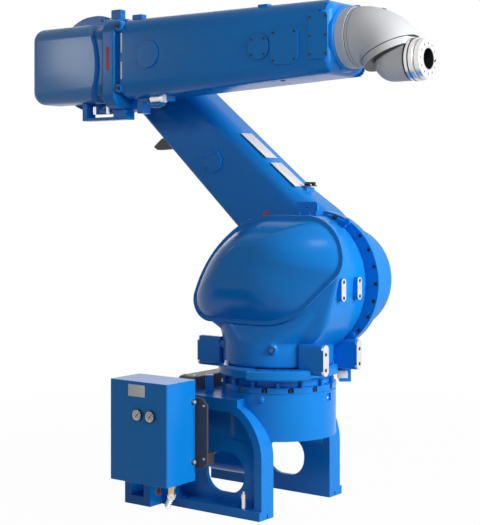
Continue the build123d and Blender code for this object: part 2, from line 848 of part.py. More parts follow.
def wrist_passage_cuts():
    """Bars and balls that hollow the three wrist sections, one after the other."""
    drop = (wrist_z - tool_z) / lean_sin
    centre = tool_centre_x()
    ball = bore_radius * 1.04
    return [
        rod_x(nose_end_x - 1, bend_x, 0, wrist_z, bore_radius),
        Pos(bend_x, 0, wrist_z) * Sphere(ball),
        bend_rod(0, drop, bore_radius),
        Pos(centre, 0, tool_z) * Sphere(ball),
        rod_x(centre, tool_face_x + 1, 0, tool_z, bore_radius),
    ]


def make_wrist_ring():
    """Fixed ring at the root of the wrist."""
    ring = rod_x(nose_end_x, wrist_ring_end_x, 0, wrist_z, wrist_radius + 1)
    pin_end_x = wrist_ring_end_x + wrist_joint_gap - pin_gap
    ring += rod_x(wrist_ring_end_x, pin_end_x, 0, wrist_z, wrist_pin_radius)
    return seat(ring, *wrist_passage_cuts())


def make_wrist_roll():
    """First wrist section, bent to the leaning joint face."""
    tube = rod_x(wrist_ring_end_x + wrist_joint_gap, bend_x, 0, wrist_z, wrist_radius - 1)
    knuckle = Pos(bend_x, 0, wrist_z) * Sphere(wrist_radius + 1)
    leg = bend_rod(0, wrist_elbow_drop, wrist_radius)
    body = tube + knuckle + leg
    body -= rod_x(0, wrist_ring_end_x + wrist_joint_gap, 0, wrist_z, 2 * wrist_radius)
    body -= bend_rod(wrist_elbow_drop, wrist_elbow_drop + 2 * wrist_radius, 3 * wrist_radius)
    pin_end = wrist_elbow_drop + wrist_joint_gap - pin_gap
    body += bend_rod(wrist_elbow_drop, pin_end, wrist_pin_radius)
    return seat(body, *wrist_passage_cuts())


def make_wrist_bend():
    """Second wrist section, from the leaning joint face to the tool axis."""
    start = wrist_elbow_drop + wrist_joint_gap
    centre = tool_centre_x()
    flange = bend_rod(start, start + bend_flange, wrist_radius - 1)
    flange -= rod_x(tool_tube_end_x, tool_face_x, 0, tool_z, 2 * wrist_radius)
    back, up = Vector(centre - tool_tube_radius, tool_z), Vector(centre, tool_z + tool_tube_radius)
    rise = tool_tube_radius * sin(radians(45))
    profile = make_face([
        ThreePointArc(back, Vector(centre - rise, tool_z + rise), up),
        Line(up, Vector(tool_tube_end_x, tool_z + tool_tube_radius)),
        Line(Vector(tool_tube_end_x, tool_z + tool_tube_radius), Vector(tool_tube_end_x, tool_z)),
        Line(Vector(tool_tube_end_x, tool_z), back),
    ])
    snout = revolve(side_plane(0) * profile, axis=Axis((centre, 0, tool_z), (1, 0, 0)))
    snout -= bend_rod(start - 2 * wrist_radius, start, 3 * wrist_radius)
    body = flange + snout
    pin_end_x = tool_tube_end_x + wrist_joint_gap - pin_gap
    body += rod_x(tool_tube_end_x, pin_end_x, 0, tool_z, wrist_pin_radius)
    return seat(body, *wrist_passage_cuts())


def make_tool_flange():
    """Turning tool flange with its bore and bolt circle."""
    start = tool_tube_end_x + wrist_joint_gap
    flange = rod_x(start, tool_ring_end_x, 0, tool_z, tool_ring_radius)
    flange += rod_x(tool_ring_end_x, tool_face_x, 0, tool_z, tool_face_radius)
    flange = seat(flange, wrist_passage_cuts()[-1])
    for index in range(tool_bolt_count):
        angle = radians(360 / tool_bolt_count * index)
        y = tool_bolt_circle / 2 * cos(angle)
        z = tool_z + tool_bolt_circle / 2 * sin(angle)
        flange -= rod_x(tool_face_x - tool_bolt_depth, tool_face_x + 1, y, z, tool_bolt_diameter / 2)
    return flange


def build_base():
    """Pieces that stay on the floor."""
    casting = make_base_casting()
    gauge_x = cabinet_x + gauge_offset
    return {
        "base_casting": casting,
        "bolt_ring": make_bolt_ring(),
        "connector_box": make_connector_box(),
        "fixed_stop": seat(make_fixed_stop(), casting),
        "anchor_pin": make_anchor_pin(),
        "air_cabinet": make_cabinet(),
        "cabinet_plate": seat(make_cabinet_plate(), casting),
        "gauge_left": make_gauge(gauge_x - gauge_spacing / 2),
        "gauge_right": make_gauge(gauge_x + gauge_spacing / 2),
        "air_fitting": make_air_fitting(),
    }


def build_head():
    """Pieces that turn about the swivel axis."""
    casting = make_head_casting()
    flange = make_head_flange()
    ring = make_shoulder_ring()
    nodes = {
        "head_flange": flange,
        "head_casting": casting,
        "side_cover_rim": make_side_cover_rim(),
        "side_cover": make_side_cover(),
        "shoulder_ring": ring,
        "shoulder_stop": seat(make_shoulder_stop(), casting),
        "tag_plate": seat(make_tag_plate(), casting),
        "moving_stop": seat(make_moving_stop(), flange),
        "front_pad_near": seat(make_front_pad(pad_shift - pad_y), casting),
        "front_pad_far": seat(make_front_pad(pad_shift + pad_y), casting),
    }
    for front, end in ((True, "front"), (False, "rear")):
        for near, side in ((True, "near"), (False, "far")):
            nodes[f"lift_block_{end}_{side}"] = seat(make_lift_block(front, near), casting, flange, ring)
    return nodes


def build_lower_arm():
    """Pieces that turn about the shoulder axis."""
    arm = make_lower_arm()
    return {
        "lower_arm": arm,
        "arm_cap": make_arm_cap(),
        "arm_bracket": seat(make_arm_bracket(), arm),
    }


def build_forearm():
    """Pieces that turn about the elbow axis."""
    collar = make_elbow_collar()
    tube = make_forearm_tube()
    rear_cover = make_rear_cover()
    collar_rear_x, collar_front_x = collar_span()
    collar_top_z = elbow_z - 22 + collar_height / 2
    tube_top_z = elbow_z - 8 + tube_rear_height / 2
    lug_x = tube_rear_x + lift_lug_inset / 4
    wrist_drop = wrist_z - elbow_z
    return {
        "elbow_ring": make_elbow_ring(),
        "elbow_housing": seat(make_elbow_housing(), rear_cover),
        "elbow_collar": collar,
        "rear_cover": rear_cover,
        "forearm_tube": tube,
        "forearm_nose": make_forearm_nose(),
        "tube_cover_rear": make_tube_disc(flush_cover_x, elbow_z, flush_cover_diameter),
        "tube_cover_front": make_tube_disc(round_cover_x, wrist_z - wrist_drop * 1.6, round_cover_diameter),
        "square_cover": make_tube_plate(square_cover_x, elbow_z - wrist_drop, square_cover_width,
                                        square_cover_height, square_cover_round),
        "front_plate": make_tube_plate(front_plate_x, wrist_z, front_plate_width, front_plate_height,
                                       front_plate_round),
        "collar_lug": seat(make_lift_lug(collar_rear_x, collar_rear_x + lift_lug_length, collar_top_z,
                                         lift_lug_height), collar),
        "tube_lug": seat(make_lift_lug(lug_x, lug_x + lift_lug_length, tube_top_z, small_lug_height), tube),
        "under_plate": seat(make_under_plate(), collar, rear_cover),
        "under_bracket": seat(make_under_bracket(), tube),
        "wrist_ring": make_wrist_ring(),
    }


def build_wrist():
    """Pieces that turn with the three wrist axes."""
    return {
        "wrist_roll": make_wrist_roll(),
        "wrist_bend": make_wrist_bend(),
        "tool_flange": make_tool_flange(),
    }


os.makedirs("parts", exist_ok=True)
for group in (build_base(), build_head(), build_lower_arm(), build_forearm(), build_wrist()):
    for name, solid in group.items():
        export_step(solid, f"parts/{name}.step")
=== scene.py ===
"""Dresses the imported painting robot: enamel, bare metal, screws and small fittings."""

import json
import logging
from collections.abc import Callable, Iterator
from contextlib import contextmanager
from dataclasses import dataclass, field
from enum import Enum
from math import atan2, cos, pi, radians, sin, tau

import bmesh
import bpy
from mathutils import Matrix, Vector
from mathutils.bvhtree import BVHTree

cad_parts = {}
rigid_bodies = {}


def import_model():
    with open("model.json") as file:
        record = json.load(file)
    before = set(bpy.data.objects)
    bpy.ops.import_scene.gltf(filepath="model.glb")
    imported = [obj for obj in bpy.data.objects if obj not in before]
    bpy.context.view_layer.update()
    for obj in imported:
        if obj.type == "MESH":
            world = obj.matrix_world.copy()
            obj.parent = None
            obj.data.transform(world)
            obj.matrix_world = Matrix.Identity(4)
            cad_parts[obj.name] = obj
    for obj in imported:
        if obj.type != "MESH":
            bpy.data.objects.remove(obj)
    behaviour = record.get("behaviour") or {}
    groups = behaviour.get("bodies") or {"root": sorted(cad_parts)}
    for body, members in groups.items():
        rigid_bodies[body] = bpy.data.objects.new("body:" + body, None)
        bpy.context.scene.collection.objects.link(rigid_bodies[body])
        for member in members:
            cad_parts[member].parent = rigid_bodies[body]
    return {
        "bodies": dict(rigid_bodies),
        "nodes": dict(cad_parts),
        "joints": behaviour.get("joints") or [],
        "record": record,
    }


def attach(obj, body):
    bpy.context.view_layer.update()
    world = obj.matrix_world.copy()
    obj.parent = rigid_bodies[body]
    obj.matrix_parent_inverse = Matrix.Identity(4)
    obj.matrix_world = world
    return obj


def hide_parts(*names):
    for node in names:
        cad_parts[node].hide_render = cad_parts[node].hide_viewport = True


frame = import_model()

log = logging.getLogger("painting_robot")

MERGE_DISTANCE = 0.00002
FLAT_ANGLE = radians(0.4)
SHARP_ANGLE = radians(32)


class Body(Enum):
    """Moving bodies of the robot."""

    BASE = "base"
    HEAD = "swivel_head"
    ARM = "lower_arm"
    FOREARM = "forearm"
    ROLL = "wrist_roll"
    BEND = "wrist_bend"
    TOOL = "tool_flange"


class Socket:
    """One output of a shader node, with arithmetic that adds Math nodes."""

    def __init__(self, recipe: "Recipe", output: bpy.types.NodeSocket) -> None:
        """Keep the output and the recipe that it belongs to."""
        self.recipe = recipe
        self.output = output

    def _math(self, operation: str, left: object, right: object) -> "Socket":
        """Add a Math node.

        Args:
            operation: Name of the Math node's operation.
            left: First value or socket.
            right: Second value or socket.

        Returns:
            The node's result.
        """
        return self.recipe.node("ShaderNodeMath", {"operation": operation}, {0: left, 1: right})

    def __add__(self, other: object) -> "Socket":
        """Sum with a value or another socket."""
        return self._math("ADD", self, other)

    def __sub__(self, other: object) -> "Socket":
        """Difference from a value or another socket."""
        return self._math("SUBTRACT", self, other)

    def __rsub__(self, other: object) -> "Socket":
        """Difference of a value from this socket."""
        return self._math("SUBTRACT", other, self)

    def __mul__(self, other: object) -> "Socket":
        """Product with a value or another socket."""
        return self._math("MULTIPLY", self, other)

    __radd__ = __add__
    __rmul__ = __mul__

    def at_least(self, floor: float) -> "Socket":
        """The larger of this socket and a floor value."""
        return self._math("MAXIMUM", self, floor)

    def clamped(self) -> "Socket":
        """This socket held between 0 and 1."""
        settings = {"operation": "ADD", "use_clamp": True}
        return self.recipe.node("ShaderNodeMath", settings, {0: self, 1: 0.0})


class Recipe:
    """Node tree of one material, with its Principled shader."""

    def __init__(self, name: str) -> None:
        """Start a material that holds only its shader and output."""
        self.material = bpy.data.materials.new(name)
        self.material.use_nodes = True
        self.tree = self.material.node_tree
        self.shader = self.tree.nodes["Principled BSDF"]
        self.place = self.node("ShaderNodeTexCoord", {}, {}, "Object")

    def node(self, kind: str, settings: dict[str, object], values: dict[object, object],
             result: object = 0) -> Socket:
        """Add a node.

        Args:
            kind: Type of the node.
            settings: Attributes of the node, set before its sockets.
            values: Values or links of its input sockets.
            result: Name or index of the output that is returned.

        Returns:
            The chosen output.
        """
        made = self.tree.nodes.new(kind)
        for key, value in settings.items():
            setattr(made, key, value)
        for key, value in values.items():
            self._feed(made.inputs[key], value)
        return Socket(self, made.outputs[result])

    def _feed(self, socket: bpy.types.NodeSocket, value: object) -> None:
        """Link a socket or set its value."""
        if isinstance(value, Socket):
            self.tree.links.new(value.output, socket)
        else:
            socket.default_value = value

    def noise(self, scale: float, detail: float = 2.0, place: Socket | None = None) -> Socket:
        """Noise between 0 and 1.

        Args:
            scale: Waves a metre.
            detail: Octaves of the noise.
            place: Coordinates, or None for the object's own.

        Returns:
            The noise value.
        """
        values = {"Vector": place or self.place, "Scale": scale, "Detail": detail}
        return self.node("ShaderNodeTexNoise", {}, values)

    def blend(self, factor: Socket, low: tuple, high: tuple) -> Socket:
        """Colour between two colours.

        Args:
            factor: 0 for the first colour and 1 for the second.
            low: First colour.
            high: Second colour.

        Returns:
            The mixed colour.
        """
        values = {"Factor": factor, 6: low, 7: high}
        return self.node("ShaderNodeMix", {"data_type": "RGBA"}, values, 2)

    def shade(self, **values: object) -> None:
        """Set or link the shader's sockets, named with underscores for spaces."""
        for key, value in values.items():
            self._feed(self.shader.inputs[key.replace("_", " ")], value)

    def bump(self, height: Socket, distance: float, strength: float = 1.0) -> None:
        """Feed a height to the shader's normal."""
        values = {"Height": height, "Distance": distance, "Strength": strength}
        self.shade(Normal=self.node("ShaderNodeBump", {}, values))


def opaque(red: float, green: float, blue: float, share: float = 1.0) -> tuple:
    """Opaque colour, dimmed or lifted by a share."""
    return (red * share, green * share, blue * share, 1.0)


@dataclass(frozen=True)
class Enamel:
    """Sprayed enamel on a casting or a sheet."""

    name: str
    colour: tuple[float, float, float]
    roughness: float = 0.3
    coat: float = 0.1
    cast_size: float = 160.0
    cast_depth: float = 0.00025
    dust: float = 0.03
    cloud_scale: float = 3.0
    dust_scale: float = 14.0
    wear_scale: float = 9.0
    swell_scale: float = 7.0
    coat_roughness: float = 0.14
    specular: float = 0.12

    def material(self) -> bpy.types.Material:
        """Build the enamel: cloudy colour, fine dust on upward faces and a cast-surface bump."""
        recipe = Recipe(self.name)
        cloud = recipe.noise(self.cloud_scale, 3.0)
        base = recipe.blend(cloud, opaque(*self.colour, 0.9), opaque(*self.colour, 1.08))
        upright = recipe.node("ShaderNodeTexCoord", {}, {}, "Normal")
        facing_up = recipe.node("ShaderNodeSeparateXYZ", {}, {0: upright}, "Z").at_least(0.0)
        dust_patches = recipe.noise(self.dust_scale, 5.0)
        dusty = (facing_up * dust_patches * self.dust).clamped()
        dust_colour = tuple(0.55 + 0.3 * part for part in self.colour)
        mixed = recipe.node("ShaderNodeMix", {"data_type": "RGBA"},
                            {"Factor": dusty, 6: base, 7: opaque(*dust_colour)}, 2)
        cast = recipe.noise(self.cast_size, 3.0)
        wear = recipe.noise(self.wear_scale, 4.0)
        recipe.shade(Base_Color=mixed, Roughness=wear * 0.12 + (self.roughness - 0.06))
        recipe.shade(Coat_Weight=self.coat, Coat_Roughness=self.coat_roughness,
                     Specular_IOR_Level=self.specular)
        recipe.bump(cast + recipe.noise(self.swell_scale, 2.0) * 3.0, self.cast_depth)
        return recipe.material


class Cut(Enum):
    """How a bare metal face was machined."""

    TURNED = "turned"
    MILLED = "milled"


@dataclass(frozen=True)
class BareMetal:
    """Machined metal with fine tool marks."""

    name: str
    colour: tuple[float, float, float]
    roughness: float = 0.24
    cut: Cut = Cut.MILLED
    axis_y: float = 0.0
    axis_z: float = 0.0

    def material(self) -> bpy.types.Material:
        """Build the metal, with rings round its axis where it was turned."""
        recipe = Recipe(self.name)
        if self.cut is Cut.TURNED:
            to_axis = (0.0, -self.axis_y, -self.axis_z)
            centred = recipe.node("ShaderNodeMapping", {}, {0: recipe.place, 1: to_axis})
            across = {0: centred, 1: (0, 1, 1)}
            flat = recipe.node("ShaderNodeVectorMath", {"operation": "MULTIPLY"}, across)
            radius = recipe.node("ShaderNodeVectorMath", {"operation": "LENGTH"}, {0: flat}, "Value")
            along = recipe.node("ShaderNodeSeparateXYZ", {}, {0: recipe.place}, "X")
            marks = recipe.node("ShaderNodeCombineXYZ", {}, {0: along, 1: radius, 2: 0.0})
            fine = recipe.noise(900.0, 3.0, marks)
        else:
            stretched = recipe.node("ShaderNodeMapping", {}, {0: recipe.place, 3: (1.0, 1.0, 0.08)})
            fine = recipe.noise(700.0, 3.0, stretched)
        smudge = recipe.noise(40.0, 3.0)
        recipe.shade(Metallic=1.0, Roughness=fine * 0.16 + smudge * 0.1 + (self.roughness - 0.12))
        recipe.shade(Base_Color=recipe.blend(smudge, opaque(*self.colour, 0.88), opaque(*self.colour)))
        recipe.bump(fine, 0.00006)
        return recipe.material


@dataclass(frozen=True)
class Moulded:
    """Plastic, rubber or plain painted sheet in one colour."""

    name: str
    colour: tuple[float, float, float]
    roughness: float = 0.45
    grain: float = 500.0

    def material(self) -> bpy.types.Material:
        """Build the plastic: one colour with a faint grain."""
        recipe = Recipe(self.name)
        grain = recipe.noise(self.grain, 2.0)
        mottle = recipe.noise(30.0, 3.0)
        recipe.shade(Base_Color=recipe.blend(mottle, opaque(*self.colour, 0.88), opaque(*self.colour)))
        recipe.shade(Roughness=mottle * 0.15 + (self.roughness - 0.07))
        recipe.bump(grain, 0.00008)
        return recipe.material


@dataclass(frozen=True)
class Palette:
    """Every finish on the robot, made once."""

    enamel: Enamel = Enamel("blue_enamel", (0.004, 0.235, 0.74), roughness=0.27)
    # The cast enamel's lighter blue is painted sheen: it stands in for the soft sheen of light on the rear
    # cover, over a rougher, grainy cast finish.
    cast: Enamel = Enamel("blue_cast_enamel_lightened_for_sheen", (0.07, 0.3, 0.75), roughness=0.4, coat=0.3,
                          cast_size=240.0, cast_depth=0.0016)
    sheet: Enamel = Enamel("blue_sheet_enamel", (0.004, 0.235, 0.74), roughness=0.25, cast_depth=0.00005)
    wrist: Enamel = Enamel("grey_enamel", (0.67, 0.68, 0.71), roughness=0.5, coat=0.0,
                           cast_depth=0.0001, dust=0.02)
    steel: BareMetal = BareMetal("milled_steel", (0.78, 0.78, 0.78), roughness=0.42)
    turned: BareMetal = BareMetal("turned_steel", (0.82, 0.81, 0.8), 0.3, Cut.TURNED, 0.0, 1.551)
    # Dark iron for black parts, also used as painted shade in bores, the dowel hole, the neck eyes and the
    # cover grooves.
    dark: Moulded = Moulded("dark_iron_and_painted_shade", (0.012, 0.014, 0.018), 0.42)
    plate: Moulded = Moulded("brown_plate", (0.075, 0.065, 0.06), 0.5)
    box: Moulded = Moulded("dull_grey", (0.13, 0.14, 0.18), 0.45)
    bezel: Moulded = Moulded("gauge_black", (0.02, 0.02, 0.02), 0.35)
    dial: Moulded = Moulded("dial_white", (0.88, 0.89, 0.9), 0.3)
    brass: BareMetal = BareMetal("brass_fitting", (0.62, 0.46, 0.25), roughness=0.32)
    red: Moulded = Moulded("red_mark", (0.4, 0.008, 0.02), 0.4)
    # Pale plate for plain plates, also used for the painted highlights on the forearm tube's rear edge.
    blank: Moulded = Moulded("blank_plate_and_painted_highlight", (0.86, 0.87, 0.87), 0.35)


def clear_selection() -> None:
    """Deselect every object."""
    bpy.ops.object.select_all(action="DESELECT")


def choose(obj: bpy.types.Object) -> bpy.types.Object:
    """Select one object alone and make it active.

    Args:
        obj: Object to select.

    Returns:
        The same object.
    """
    clear_selection()
    obj.select_set(True)
    bpy.context.view_layer.objects.active = obj
    return obj


@contextmanager
def editing(obj: bpy.types.Object) -> Iterator[bpy.types.Object]:
    """Edit mode on one object, with nothing selected at its start.

    Args:
        obj: Object to edit.

    Yields:
        The same object.
    """
    choose(obj)
    bpy.ops.object.mode_set(mode="EDIT")
    bpy.ops.mesh.select_all(action="DESELECT")
    bpy.ops.mesh.select_mode(type="FACE")
    yield obj
    bpy.ops.object.mode_set(mode="OBJECT")


def pick_faces(obj: bpy.types.Object, wanted: Callable[[Vector, Vector], bool]) -> None:
    """Select the faces of the object in edit mode that a test accepts.

    Args:
        obj: Object in edit mode.
        wanted: Test on a face's centre and normal, in the object's own axes.
    """
    bpy.ops.mesh.select_all(action="DESELECT")
    mesh = bmesh.from_edit_mesh(obj.data)
    for face in mesh.faces:
        if wanted(face.calc_center_median(), face.normal):
            face.select_set(True)
    bmesh.update_edit_mesh(obj.data)


def pick_edges(obj: bpy.types.Object, wanted: Callable[[Vector, Vector], bool]) -> None:
    """Select the edges of the object in edit mode whose two ends a test accepts.

    Args:
        obj: Object in edit mode.
        wanted: Test on an edge's two ends, in the object's own axes.
    """
    bpy.ops.mesh.select_mode(type="EDGE")
    bpy.ops.mesh.select_all(action="DESELECT")
    mesh = bmesh.from_edit_mesh(obj.data)
    for edge in mesh.edges:
        if wanted(edge.verts[0].co, edge.verts[1].co):
            edge.select_set(True)
    bmesh.update_edit_mesh(obj.data)


def round_edges(obj: bpy.types.Object, width: float, segments: int = 2) -> None:
    """Bevel every sharp edge of an object and smooth its faces.

    Args:
        obj: Object to finish.
        width: Width of the bevel.
        segments: Rows of faces in the bevel.
    """
    choose(obj)
    bpy.ops.object.shade_smooth()
    bevel = obj.modifiers.new("edge_round", "BEVEL")
    bevel.width = width
    bevel.segments = segments
    bevel.limit_method = "ANGLE"
    bevel.angle_limit = SHARP_ANGLE
    bevel.harden_normals = True
    bevel.miter_outer = "MITER_ARC"
    bpy.ops.object.modifier_apply(modifier=bevel.name)


def turned_to(axis: Vector) -> tuple[float, float, float]:
    """Rotation that turns +Z to an axis."""
    return tuple(Vector(axis).to_track_quat("Z", "Y").to_euler())


def add_disc(radius: float, height: float, foot: Vector, axis: Vector,
             sides: int = 32) -> bpy.types.Object:
    """Add a round blank that stands on a point.

    Args:
        radius: Radius of the blank.
        height: Height of the blank along the axis.
        foot: Centre of its lower face.
        axis: Direction in which it stands.
        sides: Number of side faces.

    Returns:
        The new object, selected and active.
    """
    clear_selection()
    direction = Vector(axis).normalized()
    bpy.ops.mesh.primitive_cylinder_add(vertices=sides, radius=radius, depth=height,
                                        location=Vector(foot) + direction * height / 2,
                                        rotation=turned_to(direction))
    made = bpy.context.object
    bpy.ops.object.transform_apply(location=True, rotation=True, scale=True)
    return made


def add_block(size: tuple[float, float, float], centre: Vector) -> bpy.types.Object:
    """Add a block.

    Args:
        size: Length along X, Y and Z.
        centre: Middle of the block.

    Returns:
        The new object, selected and active, with its scale applied.
    """
    clear_selection()
    bpy.ops.mesh.primitive_cube_add(size=1.0, location=centre)
    made = bpy.context.object
    made.scale = size
    bpy.ops.object.transform_apply(location=True, rotation=True, scale=True)
    return made


def join(pieces: list[bpy.types.Object], name: str) -> bpy.types.Object:
    """Join objects into one.

    Args:
        pieces: Objects to join.
        name: Name of the joined object.

    Returns:
        The joined object.
    """
    choose(pieces[0])
    for piece in pieces[1:]:
        piece.select_set(True)
    if len(pieces) > 1:
        bpy.ops.object.join()
    pieces[0].name = name
    return pieces[0]


def mm(x: float, y: float, z: float) -> Vector:
    """Point given in millimetres, in metres."""
    return Vector((x, y, z)) / 1000


def facing(centre: Vector, normal: Vector, up: Vector) -> Matrix:
    """Matrix that places and turns a piece that was modelled lying on the origin.

    Args:
        centre: Place of the origin.
        normal: Direction that +Z turns to.
        up: Direction that +Y turns towards.

    Returns:
        The matrix.
    """
    ahead = Vector(normal).normalized()
    right = Vector(up).cross(ahead).normalized()
    turn = Matrix((right, ahead.cross(right), ahead)).transposed().to_4x4()
    return Matrix.Translation(Vector(centre)) @ turn


def thin_plate(width: float, height: float, thick: float, corner: float, centre: Vector, normal: Vector,
               up: Vector = (0, 0, 1)) -> bpy.types.Object:
    """Model a plate with rounded corners and a soft front edge.

    Args:
        width: Width across the upward direction.
        height: Height along the upward direction.
        thick: Thickness along the normal.
        corner: Radius of its four corners.
        centre: Middle of its rear face.
        normal: Direction that its front faces.
        up: Direction of its height.

    Returns:
        The plate.
    """
    made = add_block((width, height, thick), (0, 0, thick / 2))
    with editing(made):
        pick_edges(made, lambda one, two: abs(one.z - two.z) > thick / 2)
        bpy.ops.mesh.bevel(offset=corner, segments=5)
        bpy.ops.mesh.select_mode(type="FACE")
        pick_faces(made, lambda place, direction: direction.z > 0.9)
        bpy.ops.mesh.inset(thickness=min(thick, corner) * 0.3, depth=thick * 0.12)
    made.data.transform(facing(centre, normal, up))
    return made


def lathe(profile: list[tuple[float, float]], foot: Vector, axis: Vector,
          sides: int = 32) -> bpy.types.Object:
    """Turn a profile about an axis.

    Args:
        profile: Radius and height of each corner, from its foot upwards.
        foot: Point on the axis at height 0.
        axis: Direction of the axis.
        sides: Number of steps round the axis.

    Returns:
        The turned object.
    """
    clear_selection()
    bpy.ops.mesh.primitive_plane_add(size=0.001, location=(0, 0, 0))
    made = bpy.context.object
    with editing(made):
        bpy.ops.mesh.select_mode(type="VERT")
        bpy.ops.mesh.select_all(action="SELECT")
        bpy.ops.mesh.merge(type="CENTER")
        radius, height = profile[0]
        bpy.ops.transform.translate(value=(radius, 0, height))
        for next_radius, next_height in profile[1:]:
            step = (next_radius - radius, 0, next_height - height)
            bpy.ops.mesh.extrude_region_move(TRANSFORM_OT_translate={"value": step})
            radius, height = next_radius, next_height
        bpy.ops.mesh.select_all(action="SELECT")
        bpy.ops.mesh.spin(steps=sides, angle=tau, center=(0, 0, 0), axis=(0, 0, 1))
        bpy.ops.mesh.select_all(action="SELECT")
        bpy.ops.mesh.remove_doubles(threshold=MERGE_DISTANCE)
        bpy.ops.mesh.normals_make_consistent(inside=False)
    turn = Vector(axis).normalized().to_track_quat("Z", "Y").to_matrix().to_4x4()
    made.data.transform(Matrix.Translation(Vector(foot)) @ turn)
    return made


def surface_below(obj: bpy.types.Object, place: Vector, direction: Vector) -> tuple[Vector, Vector]:
    """Where a ray meets an object's surface.

    Args:
        obj: Object that is met.
        place: Start of the ray.
        direction: Direction of the ray.

    Returns:
        Point and facing of the surface there.
    """
    tree = BVHTree.FromPolygons([vert.co for vert in obj.data.vertices],
                                [polygon.vertices for polygon in obj.data.polygons])
    point, normal, _, _ = tree.ray_cast(place, direction)
    return point, normal


def carve(obj: bpy.types.Object, cutters: list[bpy.types.Object]) -> None:
    """Cut other objects out of an object and remove them.

    Args:
        obj: Object that is cut.
        cutters: Objects that are cut out of it.
    """
    cutter = join(cutters, "carving_cutter")
    choose(obj)
    cut = obj.modifiers.new("carving", "BOOLEAN")
    cut.operation = "DIFFERENCE"
    cut.solver = "EXACT"
    cut.object = cutter
    bpy.ops.object.modifier_apply(modifier=cut.name)
    bpy.data.objects.remove(cutter)


def along_line(points: list[Vector], radius: float, sides: int = 12) -> bpy.types.Object:
    """Model a round bar that follows a line of points.

    Args:
        points: Places that the bar passes through.
        radius: Radius of the bar.
        sides: Number of side faces.

    Returns:
        The bar.
    """
    made = add_disc(radius, (points[1] - points[0]).length, points[0], points[1] - points[0], sides)
    for before, turn, after in zip(points, points[1:], points[2:]):
        old = (turn - before).normalized()
        new = (after - turn).normalized()
        with editing(made):
            pick_faces(made, lambda place, normal: normal.dot(old) > 0.9
                       and (place - turn).length < radius * 0.7)
            bpy.ops.mesh.extrude_region_move(TRANSFORM_OT_translate={"value": after - turn})
            bend = old.rotation_difference(new)
            axis, angle = bend.to_axis_angle()
            mesh = bmesh.from_edit_mesh(made.data)
            corners = [vert for vert in mesh.verts if vert.select]
            bmesh.ops.rotate(mesh, cent=after, matrix=Matrix.Rotation(angle, 3, axis), verts=corners)
            bmesh.update_edit_mesh(made.data)
    return made


def finish_piece(obj: bpy.types.Object, name: str, body: Body) -> bpy.types.Object:
    """Name a finished piece, smooth it and let it ride.

    Args:
        obj: The finished object.
        name: Its name in the scene.
        body: Body that carries it.

    Returns:
        The finished object.
    """
    choose(obj)
    bpy.ops.object.shade_smooth_by_angle(angle=SHARP_ANGLE)
    obj.name = name
    obj.data.name = name
    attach(obj, body.value)
    log.info("%s rides on %s", name, body.value)
    return obj


@dataclass
class Workshop:
    """The loaded frame and the finished materials that every sub-assembly uses."""

    frame: dict
    finishes: dict[str, bpy.types.Material] = field(default_factory=dict)

    def __post_init__(self) -> None:
        """Build each finish of the palette once."""
        palette = Palette()
        for key in palette.__dataclass_fields__:
            self.finishes[key] = getattr(palette, key).material()

    def skin(self, node: str, body: Body, finish: str, edge: float = 0.002,
             accents: dict[str, Callable[[Vector, Vector], bool]] | None = None,
             cutters: list[bpy.types.Object] | None = None,
             shape: Callable[[bpy.types.Object], None] | None = None) -> bpy.types.Object:
        """Copy a CAD node, round its edges and let the copy stand for it.

        Args:
            node: Name of the CAD node.
            body: Body that carries it.
            finish: Name of its finish.
            edge: Width of the rounded edges.
            accents: Other finishes, each with a test that picks its faces.
            cutters: Objects that are cut out of the copy, if any.
            shape: Further shaping of the copy before its edges are rounded, if any.

        Returns:
            The dressed copy.
        """
        mesh = self.frame["nodes"][node].data.copy()
        mesh.materials.clear()
        copy = bpy.data.objects.new(f"{node}_shell", mesh)
        bpy.context.scene.collection.objects.link(copy)
        with editing(copy):
            bpy.ops.mesh.customdata_custom_splitnormals_clear()
            bpy.ops.mesh.select_all(action="SELECT")
            bpy.ops.mesh.remove_doubles(threshold=MERGE_DISTANCE)
            bpy.ops.mesh.dissolve_limited(angle_limit=FLAT_ANGLE)
        copy.data.materials.append(self.finishes[finish])
        if cutters:
            carve(copy, cutters)
        if shape is not None:
            shape(copy)
        for index, (accent, test) in enumerate((accents or {}).items(), start=1):
            copy.data.materials.append(self.finishes[accent])
            for polygon in copy.data.polygons:
                if test(polygon.center, polygon.normal):
                    polygon.material_index = index
        if edge > 0:
            round_edges(copy, edge)
        else:
            choose(copy)
            bpy.ops.object.shade_smooth_by_angle(angle=SHARP_ANGLE)
        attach(copy, body.value)
        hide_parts(node)
        log.info("%s dressed with %d faces", copy.name, len(copy.data.polygons))
        return copy


